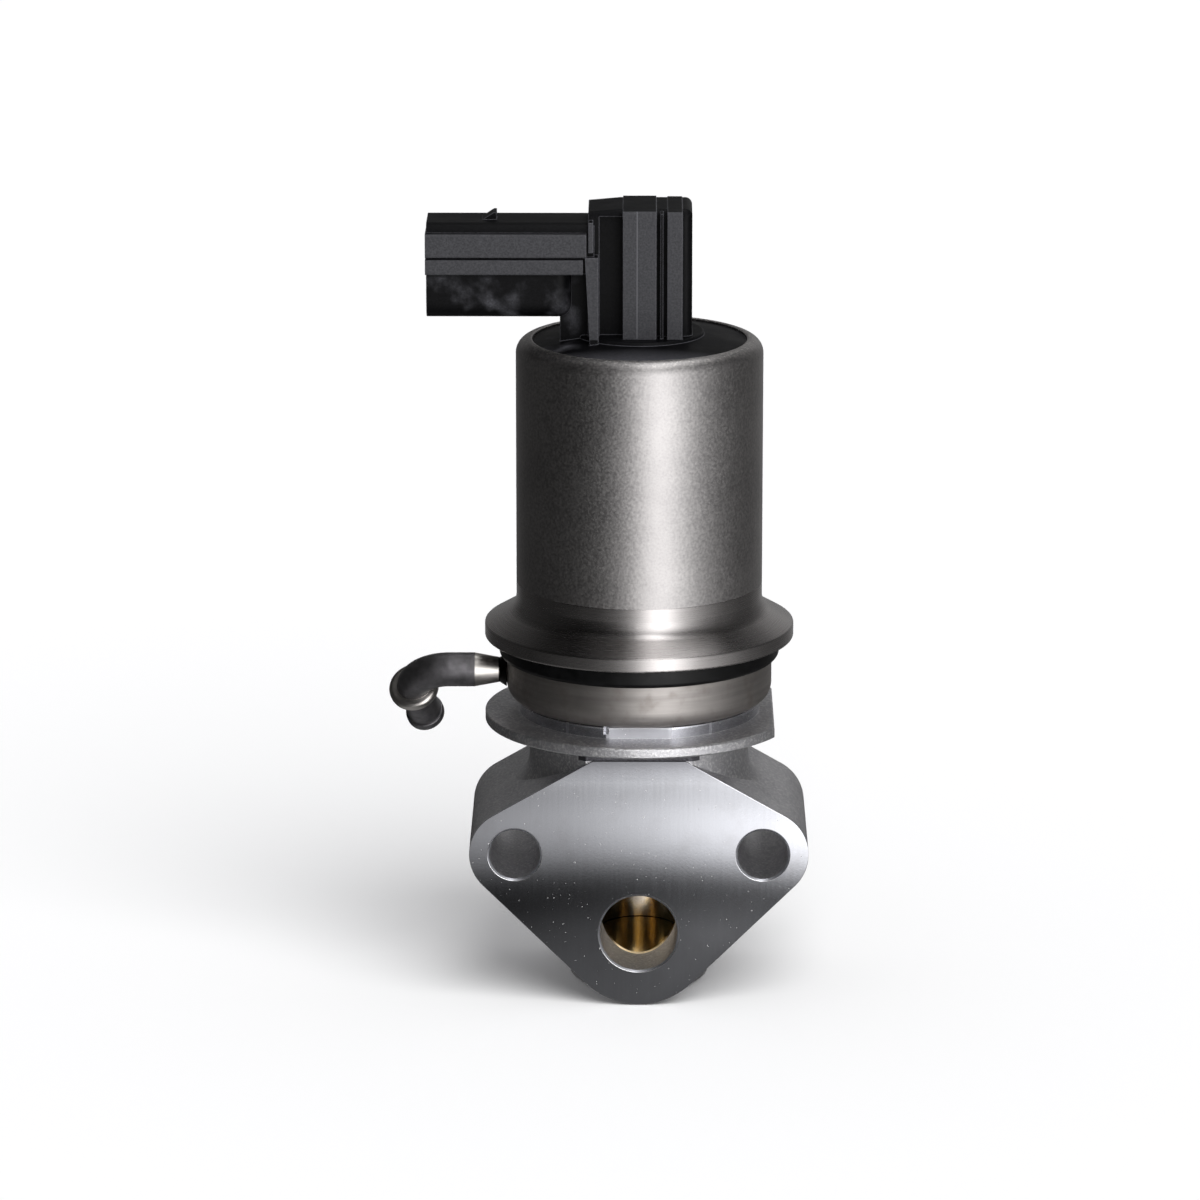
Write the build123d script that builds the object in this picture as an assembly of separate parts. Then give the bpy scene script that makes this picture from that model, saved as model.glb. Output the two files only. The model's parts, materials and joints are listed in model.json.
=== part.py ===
from build123d import *
from math import acos, atan2, cos, degrees, hypot, radians, sin, tan
import os

# An electric EGR valve: cast housing below, solenoid in the middle, position sensor and plug socket on top.
# Millimetres. The valve's axis is +Z, and -Y points out of the mating face.
# Every piece is built about the valve's axis with z = 0 at the bolt holes. The origin of the finished part
# is the middle of the two bolt holes on the mating face, so each piece moves back by FACE_TO_AXIS at the end.

# Clearances
PRESS_GAP = 0.02        # pressed, moulded or brazed pieces of one body
STEM_GAP = 0.04         # stem in its two guides
ARMATURE_GAP = 0.08     # armature in its sleeve
PLUNGER_GAP = 0.06      # sensor plunger in its guide
SOFT_GAP = 0.15         # rubber and springs beside their neighbours

# Cast housing
FACE_TO_AXIS = 17.6     # mating face to the valve's axis
BLOCK_DEPTH = 35.6      # mating face to the rear face
BOLT_SPACING = 44.0
BOLT_HOLE_R = 4.5       # clearance for M8
EAR_WALL = 3.6          # metal round a bolt hole
PORT_DROP = 14.6        # front port below the bolt holes
PORT_R = 6.9
PORT_WALL = 6.3         # metal round the front port
FACE_TOP = 17.2         # top edge of the mating face
FACE_TOP_HALF = 7.9     # middle of the face to the centre of a top corner
FACE_TOP_CORNER = 1.1
EDGE_CHAMFER = 0.35     # at the bolt holes and ports
CAST_FILLET = 1.2
BOSS_WALL = 4.6         # metal round the upright bore
BOSS_ROUND = 1.5
BOSS_BOTTOM = -27.5
NECK_R = 19.6           # cast neck under the disc
NECK_FOOT = 11.6        # height at which the neck turns out to its skirt
NECK_FLARE = 6.0        # radius of that turn
SKIRT_R = 24.0
SKIRT_BOTTOM = 7.5
NECK_SET_BACK = 0.4     # flat front and rear of the neck behind those of the block
DISC_R = 27.5
DISC_BOTTOM = 20.4
DISC_T = 1.9
DISC_FLAT = 24.0        # flat on the disc's right side
DISC_ROUND = 0.3        # cast edges of the disc
SPIGOT_R = 21.5
SPIGOT_H = 2.0
SPIGOT_WALL = 6.2
SPIGOT_FLAT = 20.85     # flat on the front of the spigot
NOTCH_W = 0.9           # drain notch beside that flat
NOTCH_H = 1.3
NOTCH_DEPTH = 3.0
NOTCH_X = -5.75

# Gas way, seat and poppet
SLEEVE_OUTER = 7.9
SLEEVE_WALL = 1.1
PLUG_SEAM = -19.9       # joint of sleeve and bottom plug, seen through the port
PLUG_FLOOR = 1.5
SEAT_TOP = -3.8
SEAT_T = 2.4
SEAT_R = 5.0
SEAT_BEVEL = 0.8
CHAMBER_R = 9.5
CHAMBER_TOP = 11.2
REAR_PORT_R = 6.9
REAR_PORT_Z = 3.5
HEAD_R = 6.6
HEAD_T = 2.4
HEAD_CONE = 3.0
NOSE_LENGTH = 3.6
NOSE_TIP_R = 2.6
NOSE_GAP = 0.5
NOSE_SHANK = 1.0        # straight part of the nose under the head
HEAD_BEVEL = 0.6
HEAD_SHOULDER = 1.0     # top of the cone beyond the stem

# Stem and guides
STEM_R = 2.5
STEM_TIP_R = 1.9
STEM_TIP_LENGTH = 4.5
STEM_BEVEL = 0.4
CLIP_GROOVE = 0.4       # depth of the clip's groove in the stem
GUIDE_WALL = 2.4
GUIDE_LENGTH = 10.5
SHIELD_R = 9.0
SHIELD_T = 0.6
SHIELD_RISE = 2.4
SHIELD_STEP = 0.6       # guide to the foot of the dish, and the lean of its mouth
BUSH_WALL = 2.2
BUSH_LENGTH = 6.0
BUSH_BEVEL = 0.3

# Cup, gasket and collar
CUP_R = 23.65
CUP_H = 8.1
CUP_WALL = 1.1
CUP_ROUND = 3.2
CUP_HOLE_R = 11.0
SCREW_COUNT = 3
SCREW_CIRCLE_R = 17.6
SCREW_R = 1.5
SCREW_HEAD_R = 2.7
SCREW_HEAD_H = 1.5
SCREW_LENGTH = 6.0
SCREW_SLOT_W = 0.7
SCREW_HOLE_GAP = 0.2
GASKET_R = 24.95
GASKET_T = 3.6
GASKET_WIDTH = 4.2
GASKET_ROUND = 0.9
COLLAR_R = 27.5
COLLAR_RIM_T = 2.45     # straight part of the rim
COLLAR_RIM_ROUND = 0.3
COLLAR_FLOOR_T = 2.9    # plate inside the can
COLLAR_SLOPE = 30.0     # degrees that the shoulder rises towards the can
COLLAR_FILLET = 3.2     # from the shoulder up to the can's wall
COLLAR_HUB_H = 10.0     # underside of the collar to the can's lower edge
COLLAR_SPIGOT_H = 3.0
COLLAR_SPIGOT_WALL = 1.0
COLLAR_HOLE_R = 4.7

# Vent tube
TUBE_R = 3.05
TUBE_WALL = 0.6
TUBE_NECK_R = 2.1
TUBE_NECK_LENGTH = 5.8
TUBE_NECK_SHANK = 0.6   # straight part of the neck outside the cup
BRAZE_R = 3.0           # fillet of braze round the neck at the cup's wall
BRAZE_LENGTH = 1.4
TUBE_Z_IN_CUP = 4.95    # tube's axis above the bottom of the cup
TUBE_RUN = 41.75        # valve's axis to the corner of the tube's route
TUBE_BEND_R = 6.6
TUBE_DROP = 42.1        # degrees that the nozzle points down from level
TUBE_TURN = 14.0        # degrees that the nozzle points right of straight back
BEAD_AT = 7.1           # corner of the route to the bead
BEAD_R = 4.5
BEAD_T = 2.0
BEAD_ROUND = 0.84
NOZZLE_AT = 17.6        # corner of the route to the nozzle's end
NOZZLE_LIP = 0.4
NOZZLE_LIP_L = 1.6
NOZZLE_LIP_ROUND = 0.3

# Solenoid
CAN_R = 21.86
CAN_WALL = 0.9
CAN_H = 43.95           # can's lower edge to the top of its rolled rim
CAN_ROLL = 2.6          # outer radius of the rolled rim
CAN_LIP_FALL = 0.1      # drop of the rim from the roll to its edge
POLE_PLATE_T = 3.0
ARMATURE_R = 8.5
ARMATURE_H = 22.0
ARMATURE_WELL_R = 5.6
ARMATURE_WELL = 7.0
AIR_GAP = 4.6           # armature to upper pole with the valve closed
ARMATURE_BEVEL = 0.6
AIR_GROOVE_R = 0.8      # two grooves along the armature that let the air past
SLEEVE_TUBE_WALL = 0.45
SLEEVE_END_GAP = 0.6    # top of the armature sleeve to the upper pole's plate
POLE_PLUG_H = 9.4
POLE_BEVEL = 0.5
POLE_BORE_R = 2.4
POLE_WELL = 4.5
CLIP_R = 3.5
CLIP_T = 1.0
CLIP_MOUTH = 1.8
BOBBIN_SIDE_GAP = 0.6   # spool to the wall round it
BOBBIN_FLANGE = 1.5
BOBBIN_WALL = 1.1
WINDING_SINK = 0.9      # crown of the winding below the edge of the flanges
WINDING_CROWN = 0.5
DISC_SPRING_INSET = 1.8 # edge of the flange to the spring washer
DISC_SPRING_W = 6.0
DISC_SPRING_T = 0.6
DISC_SPRING_RISE = 0.9
RETURN_SPRING_R = 4.7
RETURN_WIRE_R = 0.45
RETURN_TURNS = 5

# Cover: base, sensor tower and plug socket
COVER_T = 4.3           # underside of the base to the step under the can's rim
COVER_STEP_R = 18.8
COVER_STEP_H = 0.5
COVER_RING_R = 11.4
COVER_RING_H = 2.3      # step to the top of the ring
COVER_RING_WALL = 0.6   # upright edge of the ring above the slope
COVER_RING_ROUND = 0.45
TOWER_LEFT = 9.0
TOWER_RIGHT = 9.2
TOWER_FRONT = 5.6
TOWER_BACK = 7.6
TOWER_H = 22.5          # ring to the top of the tower
TOWER_CORNER = 1.3      # rounding of the right corners
TOWER_EDGE = 1.2        # rounding of the tower's top edges
TOWER_FALL = 0.5        # the roof's fall towards the left edge
TOWER_FALL_FROM = 3.4   # valve's axis to where that fall starts
PANEL_RISE = 0.2        # top of the main panel above the roof
SIDE_PANEL_RISE = 0.1
PANEL_BACK = 6.8        # rear of both panels on the roof
PANEL_ROUND = 0.45
PANEL_FRONT = 8.2       # face of the raised panels
PANEL_LEFT = 2.95
PANEL_RIGHT = 2.9
SIDE_PANEL_X = 6.15
SIDE_PANEL_W = 2.6
FIN_X = 3.85
FIN_W = 0.5
FIN_SINK = 0.3          # fin behind and below the panels
RECESS_X = 5.0
RECESS_W = 4.2
RECESS_DEPTH = 1.2
RECESS_ROOF = 1.2
GUSSET_RIGHT = 7.25
GUSSET_TOP_LEFT = 9.55
GUSSET_FOOT_LEFT = 8.7
GUSSET_H = 14.5
GUSSET_FRONT = 8.6
GUSSET_FOOT = 9.5
GUSSET_SINK = 1.2       # foot of the gusset below the ring's top
STRIP_LEFT = 8.95
STRIP_W = 0.75
STRIP_FOOT = 1.1        # foot of the strip above the groove between the ribs
STRIP_TOP = 0.6         # top of the strip above the socket's roof
SENSOR_BAY_X = 6.6
SENSOR_BAY_FRONT = 3.4
SENSOR_BAY_BACK = 4.4
SENSOR_ROOF_T = 1.5     # roof over the sensor bay
UNDER_BAY_R = 13.0
UNDER_BAY_H = 3.0
SOCKET_MOUTH = 37.35    # valve's axis to the mouth of the socket
SOCKET_TOP = 20.05      # above the ring
SOCKET_BOTTOM = 3.3
SOCKET_HALF = 7.2
SOCKET_ROUND = 3.0
SOCKET_WALL = 1.7
SOCKET_DEPTH = 19.0
SOCKET_LOWER_END = 12.0
RIB_OUT = 8.4
RIB_TOP = 18.6
RIB_SPLIT = 14.25
RIB_BOTTOM = 11.4
RIB_GROOVE = 0.35
RIB_ROUND = 0.3
RIB_LEAD = 0.15         # ribs in front of the socket's mouth
UPPER_RIB_END = 9.35
LOWER_RIB_END = 9.95
WEB_HALF = 4.6
WEB_SINK = 1.2          # foot of the web below the ring's top
LATCH_X = 25.1
LATCH_L = 2.8
LATCH_H = 1.3
LATCH_W = 4.0
LATCH_CREST = 0.5
LATCH_SINK = 0.2
SEAL_R = 17.6
SEAL_W = 1.8
SEAL_T = 1.5

# Position sensor and pins
RETAINER_R = 12.6
RETAINER_T = 1.6
PLUNGER_R = 1.6
SLIDER_HEAD_R = 3.0
SLIDER_HEAD_H = 6.0
SLIDER_WELL = 2.5
SLIDER_ARM = 2.8        # half the arm's width
SLIDER_ARM_T = 3.0
WIPER_W = 1.0
WIPER_T = 0.25
WIPER_L = 5.0
WIPER_RISE = 0.8        # foot of the wipers above the arm's underside
WIPER_ROOT = 1.2
WIPER_TIP = 0.4
WIPER_PITCH = 2.2
WIPER_GAP = 0.8         # slider's arm to the track
TRACK_T = 0.9
TRACK_W = 11.0
TRACK_H = 20.0
SENSOR_SPRING_R = 2.0
SENSOR_WIRE_R = 0.25
SENSOR_TURNS = 6
PIN_W = 0.64
PIN_TIP = 9.0           # free length of a pin in the socket
PIN_ROWS = (3, 2)
PIN_PITCH = 2.9
PIN_ROW_GAP = 4.0
PIN_INNER = 7.6         # valve's axis to the inner end of a pin
PIN_BEVEL = 0.19

# Heights worked out from the stack
DISC_TOP = DISC_BOTTOM + DISC_T
CUP_BOTTOM = DISC_TOP + SPIGOT_H
CUP_TOP = CUP_BOTTOM + CUP_H
COLLAR_BOTTOM = CUP_TOP + GASKET_T
COLLAR_TOP = COLLAR_BOTTOM + COLLAR_FLOOR_T
CAN_BOTTOM = COLLAR_BOTTOM + COLLAR_HUB_H
CAN_TOP = CAN_BOTTOM + CAN_H
STEP_Z = CAN_TOP - CAN_WALL
COVER_BOTTOM = STEP_Z - COVER_T
RING_Z = STEP_Z + COVER_RING_H
TOWER_TOP = RING_Z + TOWER_H
SENSOR_ROOF = TOWER_TOP - SENSOR_ROOF_T
SENSOR_FLOOR = COVER_BOTTOM + UNDER_BAY_H
UPPER_PLATE_TOP = COVER_BOTTOM
UPPER_PLATE_BOTTOM = UPPER_PLATE_TOP - POLE_PLATE_T
LOWER_PLATE_TOP = COLLAR_TOP + POLE_PLATE_T
POLE_FACE = UPPER_PLATE_BOTTOM - POLE_PLUG_H
ARMATURE_TOP = POLE_FACE - AIR_GAP
ARMATURE_BOTTOM = ARMATURE_TOP - ARMATURE_H
WELL_FLOOR = ARMATURE_TOP - ARMATURE_WELL
STEM_TOP = WELL_FLOOR + STEM_TIP_LENGTH
SOCKET_ROOF = RING_Z + SOCKET_TOP
SOCKET_FLOOR = RING_Z + SOCKET_BOTTOM
SOCKET_MID = (SOCKET_ROOF + SOCKET_FLOOR) / 2

# Radii worked out from what fits in what
EAR_R = BOLT_HOLE_R + EAR_WALL
PORT_BOSS_R = PORT_R + PORT_WALL
BOSS_R = SLEEVE_OUTER + BOSS_WALL
SLEEVE_BORE = SLEEVE_OUTER - SLEEVE_WALL
GUIDE_R = STEM_R + GUIDE_WALL
BUSH_R = STEM_R + BUSH_WALL
CAN_BORE = CAN_R - CAN_WALL
COLLAR_SPIGOT_R = CAN_BORE - PRESS_GAP
COIL_SPACE_R = COLLAR_SPIGOT_R - COLLAR_SPIGOT_WALL - PRESS_GAP
TUBE_BORE = ARMATURE_R + ARMATURE_GAP
TUBE_OUTER = TUBE_BORE + SLEEVE_TUBE_WALL
BOBBIN_R = COIL_SPACE_R - BOBBIN_SIDE_GAP
WINDING_R = BOBBIN_R - WINDING_SINK
DISC_SPRING_R = BOBBIN_R - DISC_SPRING_INSET


def disc(radius, low, high, x=0.0, y=0.0):
    """Upright cylinder between two heights."""
    return Pos(x, y, low) * Cylinder(radius, high - low, align=(Align.CENTER, Align.CENTER, Align.MIN))


def cone(start_radius, end_radius, length):
    """Cut cone that starts at the origin."""
    return Cone(start_radius, end_radius, length, align=(Align.CENTER, Align.CENTER, Align.MIN))


def ring(outer, inner, low, high):
    """Upright tube between two heights."""
    return disc(outer, low, high) - disc(inner, low - 1, high + 1)


def block(x0, x1, y0, y1, z0, z1):
    """Box between two corners."""
    size = Box(x1 - x0, y1 - y0, z1 - z0, align=(Align.MIN, Align.MIN, Align.MIN))
    return Pos(x0, y0, z0) * size


def turned(points):
    """Solid of revolution about the valve's axis from radius and height pairs."""
    return revolve(Plane.XZ * make_face(Polyline(*points, close=True)), Axis.Z)


def along_y(radius, y0, y1, x=0.0, z=0.0):
    """Level cylinder from y0 back to y1."""
    start = Plane(origin=(x, y0, z), x_dir=(1, 0, 0), z_dir=(0, 1, 0))
    return extrude(start * Circle(radius), amount=y1 - y0)


def belt(circles):
    """Face inside a tight belt round circles, given anticlockwise as x, y and radius."""
    count = len(circles)
    normals = []
    for i in range(count):
        x0, y0, r0 = circles[i]
        x1, y1, r1 = circles[(i + 1) % count]
        along = atan2(y1 - y0, x1 - x0)
        normals.append(along - acos((r0 - r1) / hypot(x1 - x0, y1 - y0)))
    edges = []
    for i in range(count):
        x0, y0, r0 = circles[i]
        x1, y1, r1 = circles[(i + 1) % count]
        out = (cos(normals[i]), sin(normals[i]))
        before = normals[i - 1]
        edges.append(CenterArc((x0, y0), r0, degrees(before), degrees(normals[i] - before) % 360))
        edges.append(Line((x0 + r0 * out[0], y0 + r0 * out[1]), (x1 + r1 * out[0], y1 + r1 * out[1])))
    return make_face(edges)


def coil_spring(mean_radius, wire_radius, turns, low, high):
    """Helical spring whose end turns lie inside the two heights."""
    height = high - low - 2 * wire_radius - 2 * SOFT_GAP
    path = Helix(height / turns, height, mean_radius)
    section = Plane(path @ 0, z_dir=path % 0) * Circle(wire_radius)
    return Pos(0, 0, low + wire_radius + SOFT_GAP) * sweep(section, path=path, is_frenet=True)


def valve_housing():
    """Cast block: face outline carried back, upright boss, neck, disc and spigot, then bores and ports."""
    half = BOLT_SPACING / 2
    outline = belt([
        (-half, 0, EAR_R),
        (0, -PORT_DROP, PORT_BOSS_R),
        (half, 0, EAR_R),
        (FACE_TOP_HALF, FACE_TOP - FACE_TOP_CORNER, FACE_TOP_CORNER),
        (-FACE_TOP_HALF, FACE_TOP - FACE_TOP_CORNER, FACE_TOP_CORNER),
    ])
    face = Plane(origin=(0, -FACE_TO_AXIS, 0), x_dir=(1, 0, 0), z_dir=(0, -1, 0))
    body = extrude(face * outline, amount=-BLOCK_DEPTH)
    back = body.faces().sort_by(Axis.Y)[-1]
    body = fillet(back.edges(), CAST_FILLET)
    boss = disc(BOSS_R, BOSS_BOTTOM, DISC_BOTTOM)
    body += fillet(boss.faces().sort_by(Axis.Z)[0].edges(), BOSS_ROUND)
    body += neck()
    flange = disc(DISC_R, DISC_BOTTOM, DISC_TOP)
    flange -= block(DISC_FLAT, DISC_R + 1, -DISC_R, DISC_R, DISC_BOTTOM - 1, DISC_TOP + 1)
    flange = fillet(flange.edges(), DISC_ROUND)
    spigot = ring(SPIGOT_R, SPIGOT_R - SPIGOT_WALL, DISC_TOP, CUP_BOTTOM)
    spigot -= block(-SPIGOT_R, SPIGOT_R, -SPIGOT_R - 1, -SPIGOT_FLAT, DISC_TOP, CUP_BOTTOM + 1)
    notch_x = (NOTCH_X - NOTCH_W / 2, NOTCH_X + NOTCH_W / 2)
    spigot -= block(*notch_x, -SPIGOT_R - 1, NOTCH_DEPTH - SPIGOT_R, CUP_BOTTOM - NOTCH_H, CUP_BOTTOM + 1)
    body += flange + spigot
    rear = BLOCK_DEPTH - FACE_TO_AXIS
    body -= disc(SLEEVE_OUTER, BOSS_BOTTOM - 1, SEAT_TOP)
    body -= disc(CHAMBER_R, SEAT_TOP, CHAMBER_TOP)
    body -= disc(GUIDE_R, CHAMBER_TOP - 1, DISC_TOP + 1)
    body -= along_y(PORT_R, -FACE_TO_AXIS - 1, 0, z=-PORT_DROP)
    body -= along_y(REAR_PORT_R, 0, rear + 1, z=REAR_PORT_Z)
    for x in (-half, half):
        body -= along_y(BOLT_HOLE_R, -FACE_TO_AXIS - 1, rear + 1, x=x)
    mouths = [(-half, 0, BOLT_HOLE_R), (half, 0, BOLT_HOLE_R), (0, -PORT_DROP, PORT_R)]
    for x, z, radius in mouths:
        mouth = Plane(origin=(x, -FACE_TO_AXIS, z), x_dir=(1, 0, 0), z_dir=(0, 1, 0))
        body -= mouth * cone(radius + EDGE_CHAMFER, radius, EDGE_CHAMFER)
    for x, y in screw_places():
        body -= disc(SCREW_R, CUP_BOTTOM - SCREW_LENGTH, CUP_BOTTOM + 1, x, y)
    return body


def neck():
    """Round neck with a skirt over the shoulders, flat at front and rear."""
    top, turn, skirt_end = (NECK_R, DISC_BOTTOM), (NECK_R, NECK_FOOT), (SKIRT_R, SKIRT_BOTTOM)
    side = FilletPolyline(top, turn, skirt_end, radius=NECK_FLARE)
    rest = Polyline(skirt_end, (0, SKIRT_BOTTOM), (0, DISC_BOTTOM), top)
    shape = revolve(Plane.XZ * make_face([*side.edges(), *rest.edges()]), Axis.Z)
    front, rear = NECK_SET_BACK - FACE_TO_AXIS, BLOCK_DEPTH - FACE_TO_AXIS - NECK_SET_BACK
    return shape & block(-SKIRT_R, SKIRT_R, front, rear, SKIRT_BOTTOM, DISC_BOTTOM)


def screw_places():
    """Where the cup's screws stand, one of them behind the axis."""
    angles = [radians(90 + 360 * i / SCREW_COUNT) for i in range(SCREW_COUNT)]
    return [(SCREW_CIRCLE_R * cos(a), SCREW_CIRCLE_R * sin(a)) for a in angles]


def seat_sleeve():
    """Bronze liner, open to the front port."""
    sleeve = ring(SLEEVE_OUTER - PRESS_GAP, SLEEVE_BORE, PLUG_SEAM, SEAT_TOP - SEAT_T)
    return sleeve - along_y(PORT_R, -FACE_TO_AXIS, 0, z=-PORT_DROP)


def bore_plug():
    """Cup plug whose rim meets the liner."""
    plug = disc(SLEEVE_OUTER - PRESS_GAP, BOSS_BOTTOM, PLUG_SEAM)
    plug -= disc(SLEEVE_BORE, BOSS_BOTTOM + PLUG_FLOOR, PLUG_SEAM + 1)
    return plug - along_y(PORT_R, -FACE_TO_AXIS, 0, z=-PORT_DROP)


def valve_seat():
    """Hardened ring with a chamfered mouth below and a flat seat on top."""
    outer = SLEEVE_OUTER - PRESS_GAP
    low = SEAT_TOP - SEAT_T
    mouth = (SEAT_R + SEAT_BEVEL, low)
    throat = (SEAT_R, low + SEAT_BEVEL)
    return turned([mouth, (outer, low), (outer, SEAT_TOP), (SEAT_R, SEAT_TOP), throat])


def stem_guide():
    """Plain bush in the roof of the gas chamber."""
    guide = ring(GUIDE_R - PRESS_GAP, STEM_R + STEM_GAP, CHAMBER_TOP, CHAMBER_TOP + GUIDE_LENGTH)
    return chamfer(guide.faces().sort_by(Axis.Z)[0].edges(), STEM_BEVEL)


def stem_shield():
    """Pressed dish over the guide's top, sitting on the disc inside the spigot."""
    low = DISC_TOP
    rise = low + SHIELD_RISE
    foot = GUIDE_R + SHIELD_STEP
    mouth = STEM_R + SOFT_GAP
    return turned([
        (foot, low), (SHIELD_R, low), (SHIELD_R, low + SHIELD_T), (foot + SHIELD_T / 2, low + SHIELD_T),
        (mouth + SHIELD_STEP, rise), (mouth, rise), (mouth, rise - SHIELD_T),
        (mouth + SHIELD_STEP - SHIELD_T / 3, rise - SHIELD_T),
    ])


def valve_head():
    """Poppet: flat face on the seat, cone up to the stem, tapered nose below."""
    nose_r = SEAT_R - NOSE_GAP
    tip = SEAT_TOP - NOSE_LENGTH
    top = SEAT_TOP + HEAD_T
    head = turned([
        (0, tip), (NOSE_TIP_R, tip), (nose_r, SEAT_TOP - NOSE_SHANK),
        (nose_r, SEAT_TOP), (HEAD_R, SEAT_TOP), (HEAD_R, top - HEAD_BEVEL), (HEAD_R - HEAD_BEVEL, top),
        (STEM_R + HEAD_SHOULDER, top + HEAD_CONE), (0, top + HEAD_CONE),
    ])
    return head - disc(STEM_R + PRESS_GAP, SEAT_TOP, top + HEAD_CONE + 1)


def valve_stem():
    """Ground rod from the head to the armature, stepped down for the armature and its clip."""
    rod = disc(STEM_R, SEAT_TOP, ARMATURE_BOTTOM)
    rod += disc(STEM_TIP_R, ARMATURE_BOTTOM - 1, STEM_TOP)
    rod = chamfer(rod.faces().sort_by(Axis.Z)[-1].edges(), STEM_BEVEL)
    return rod - ring(STEM_TIP_R + 1, STEM_TIP_R - CLIP_GROOVE, WELL_FLOOR, WELL_FLOOR + CLIP_T)


def armature():
    """Soft-iron plunger with a spring well and two grooves along it for air."""
    body = disc(ARMATURE_R, ARMATURE_BOTTOM, ARMATURE_TOP)
    body = chamfer(body.edges().filter_by(GeomType.CIRCLE), ARMATURE_BEVEL)
    body -= disc(ARMATURE_WELL_R, WELL_FLOOR, ARMATURE_TOP + 1)
    body -= disc(STEM_TIP_R + PRESS_GAP, ARMATURE_BOTTOM - 1, WELL_FLOOR + 1)
    for side in (-1, 1):
        body -= disc(AIR_GROOVE_R, ARMATURE_BOTTOM - 1, ARMATURE_TOP + 1, side * ARMATURE_R)
    return body


def armature_clip():
    """Split ring in the stem's groove."""
    low, high = WELL_FLOOR, WELL_FLOOR + CLIP_T
    clip = ring(CLIP_R, STEM_TIP_R - CLIP_GROOVE + PRESS_GAP, low, high)
    return clip - block(-CLIP_R - 1, 0, -CLIP_MOUTH / 2, CLIP_MOUTH / 2, low - 1, high + 1)


def lower_cup():
    """Drawn cup: flat bottom, rounded corner, straight wall with a hole for the tube."""
    low, high = CUP_BOTTOM, CUP_TOP
    cup = disc(CUP_R, low, high)
    cup = fillet(cup.faces().sort_by(Axis.Z)[0].edges(), CUP_ROUND)
    hollow = disc(CUP_R - CUP_WALL, low + CUP_WALL, high + 1)
    cup -= fillet(hollow.faces().sort_by(Axis.Z)[0].edges(), CUP_ROUND - CUP_WALL)
    cup -= disc(CUP_HOLE_R, low - 1, high)
    for x, y in screw_places():
        cup -= disc(SCREW_R + SCREW_HOLE_GAP, low - 1, low + CUP_WALL + 1, x, y)
    hole = Plane(origin=(0, 0, low + TUBE_Z_IN_CUP), x_dir=(0, 1, 0), z_dir=(-1, 0, 0))
    return cup - extrude(hole * Circle(TUBE_NECK_R + PRESS_GAP), amount=CUP_R + 1)


def cup_screws():
    """Slotted pan-head screws through the cup into the spigot."""
    seat = CUP_BOTTOM + CUP_WALL
    top = seat + SCREW_HEAD_H
    head = disc(SCREW_HEAD_R, seat, top)
    head = fillet(head.faces().sort_by(Axis.Z)[-1].edges(), SCREW_HEAD_H * 0.4)
    half = SCREW_SLOT_W / 2
    slot = block(-SCREW_HEAD_R, SCREW_HEAD_R, -half, half, (seat + top) / 2, top + 1)
    screw = head - slot + disc(SCREW_R - PRESS_GAP, CUP_BOTTOM - SCREW_LENGTH, seat)
    return Compound(children=[Pos(x, y, 0) * screw for x, y in screw_places()])


def cup_gasket():
    """Thick rubber ring between cup and collar."""
    gasket = ring(GASKET_R, GASKET_R - GASKET_WIDTH, CUP_TOP, COLLAR_BOTTOM)
    outer = gasket.edges().filter_by(GeomType.CIRCLE).group_by(SortBy.RADIUS)[-1]
    return fillet(outer, GASKET_ROUND)


def tube_route():
    """Corner of the tube's route and the direction of its nozzle."""
    corner = Vector(-TUBE_RUN, 0, CUP_BOTTOM + TUBE_Z_IN_CUP)
    drop, turn = radians(TUBE_DROP), radians(TUBE_TURN)
    nozzle = Vector(sin(turn) * cos(drop), cos(turn) * cos(drop), -sin(drop))
    return corner, nozzle


def vent_tube():
    """Bent steel tube: reduced neck in the cup's wall, bead and lipped nozzle."""
    corner, nozzle = tube_route()

    def across(out):
        """Plane across the tube's level part, facing away from the valve."""
        return Plane(origin=(-out, 0, corner.Z), x_dir=(0, 1, 0), z_dir=(-1, 0, 0))

    inner_end = CUP_R - CUP_WALL
    neck_end = CUP_R + TUBE_NECK_SHANK
    full_start = CUP_R + TUBE_NECK_LENGTH
    end = corner + nozzle * NOZZLE_AT
    path = FilletPolyline((-full_start, 0, corner.Z), corner, end, radius=TUBE_BEND_R)
    tube = sweep(across(full_start) * Circle(TUBE_R), path=path)
    tube += extrude(across(inner_end) * Circle(TUBE_NECK_R), amount=neck_end - inner_end)
    tube += loft([across(neck_end) * Circle(TUBE_NECK_R), across(full_start) * Circle(TUBE_R)])
    tube += across(CUP_R + PRESS_GAP) * cone(BRAZE_R, TUBE_NECK_R, BRAZE_LENGTH)
    bead_plane = Plane(origin=corner + nozzle * (BEAD_AT - BEAD_T / 2), z_dir=nozzle)
    bead = extrude(bead_plane * Circle(BEAD_R), amount=BEAD_T)
    tube += fillet(bead.edges().filter_by(GeomType.CIRCLE), BEAD_ROUND)
    lip_plane = Plane(origin=end - nozzle * NOZZLE_LIP_L, z_dir=nozzle)
    lip = extrude(lip_plane * Circle(TUBE_R + NOZZLE_LIP), amount=NOZZLE_LIP_L)
    tube += fillet(lip.edges().filter_by(GeomType.CIRCLE), NOZZLE_LIP_ROUND)
    bore = sweep(across(full_start) * Circle(TUBE_R - TUBE_WALL), path=path)
    bore += loft([
        across(inner_end - 1) * Circle(TUBE_NECK_R - TUBE_WALL),
        across(full_start) * Circle(TUBE_R - TUBE_WALL),
    ])
    return tube - bore


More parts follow.
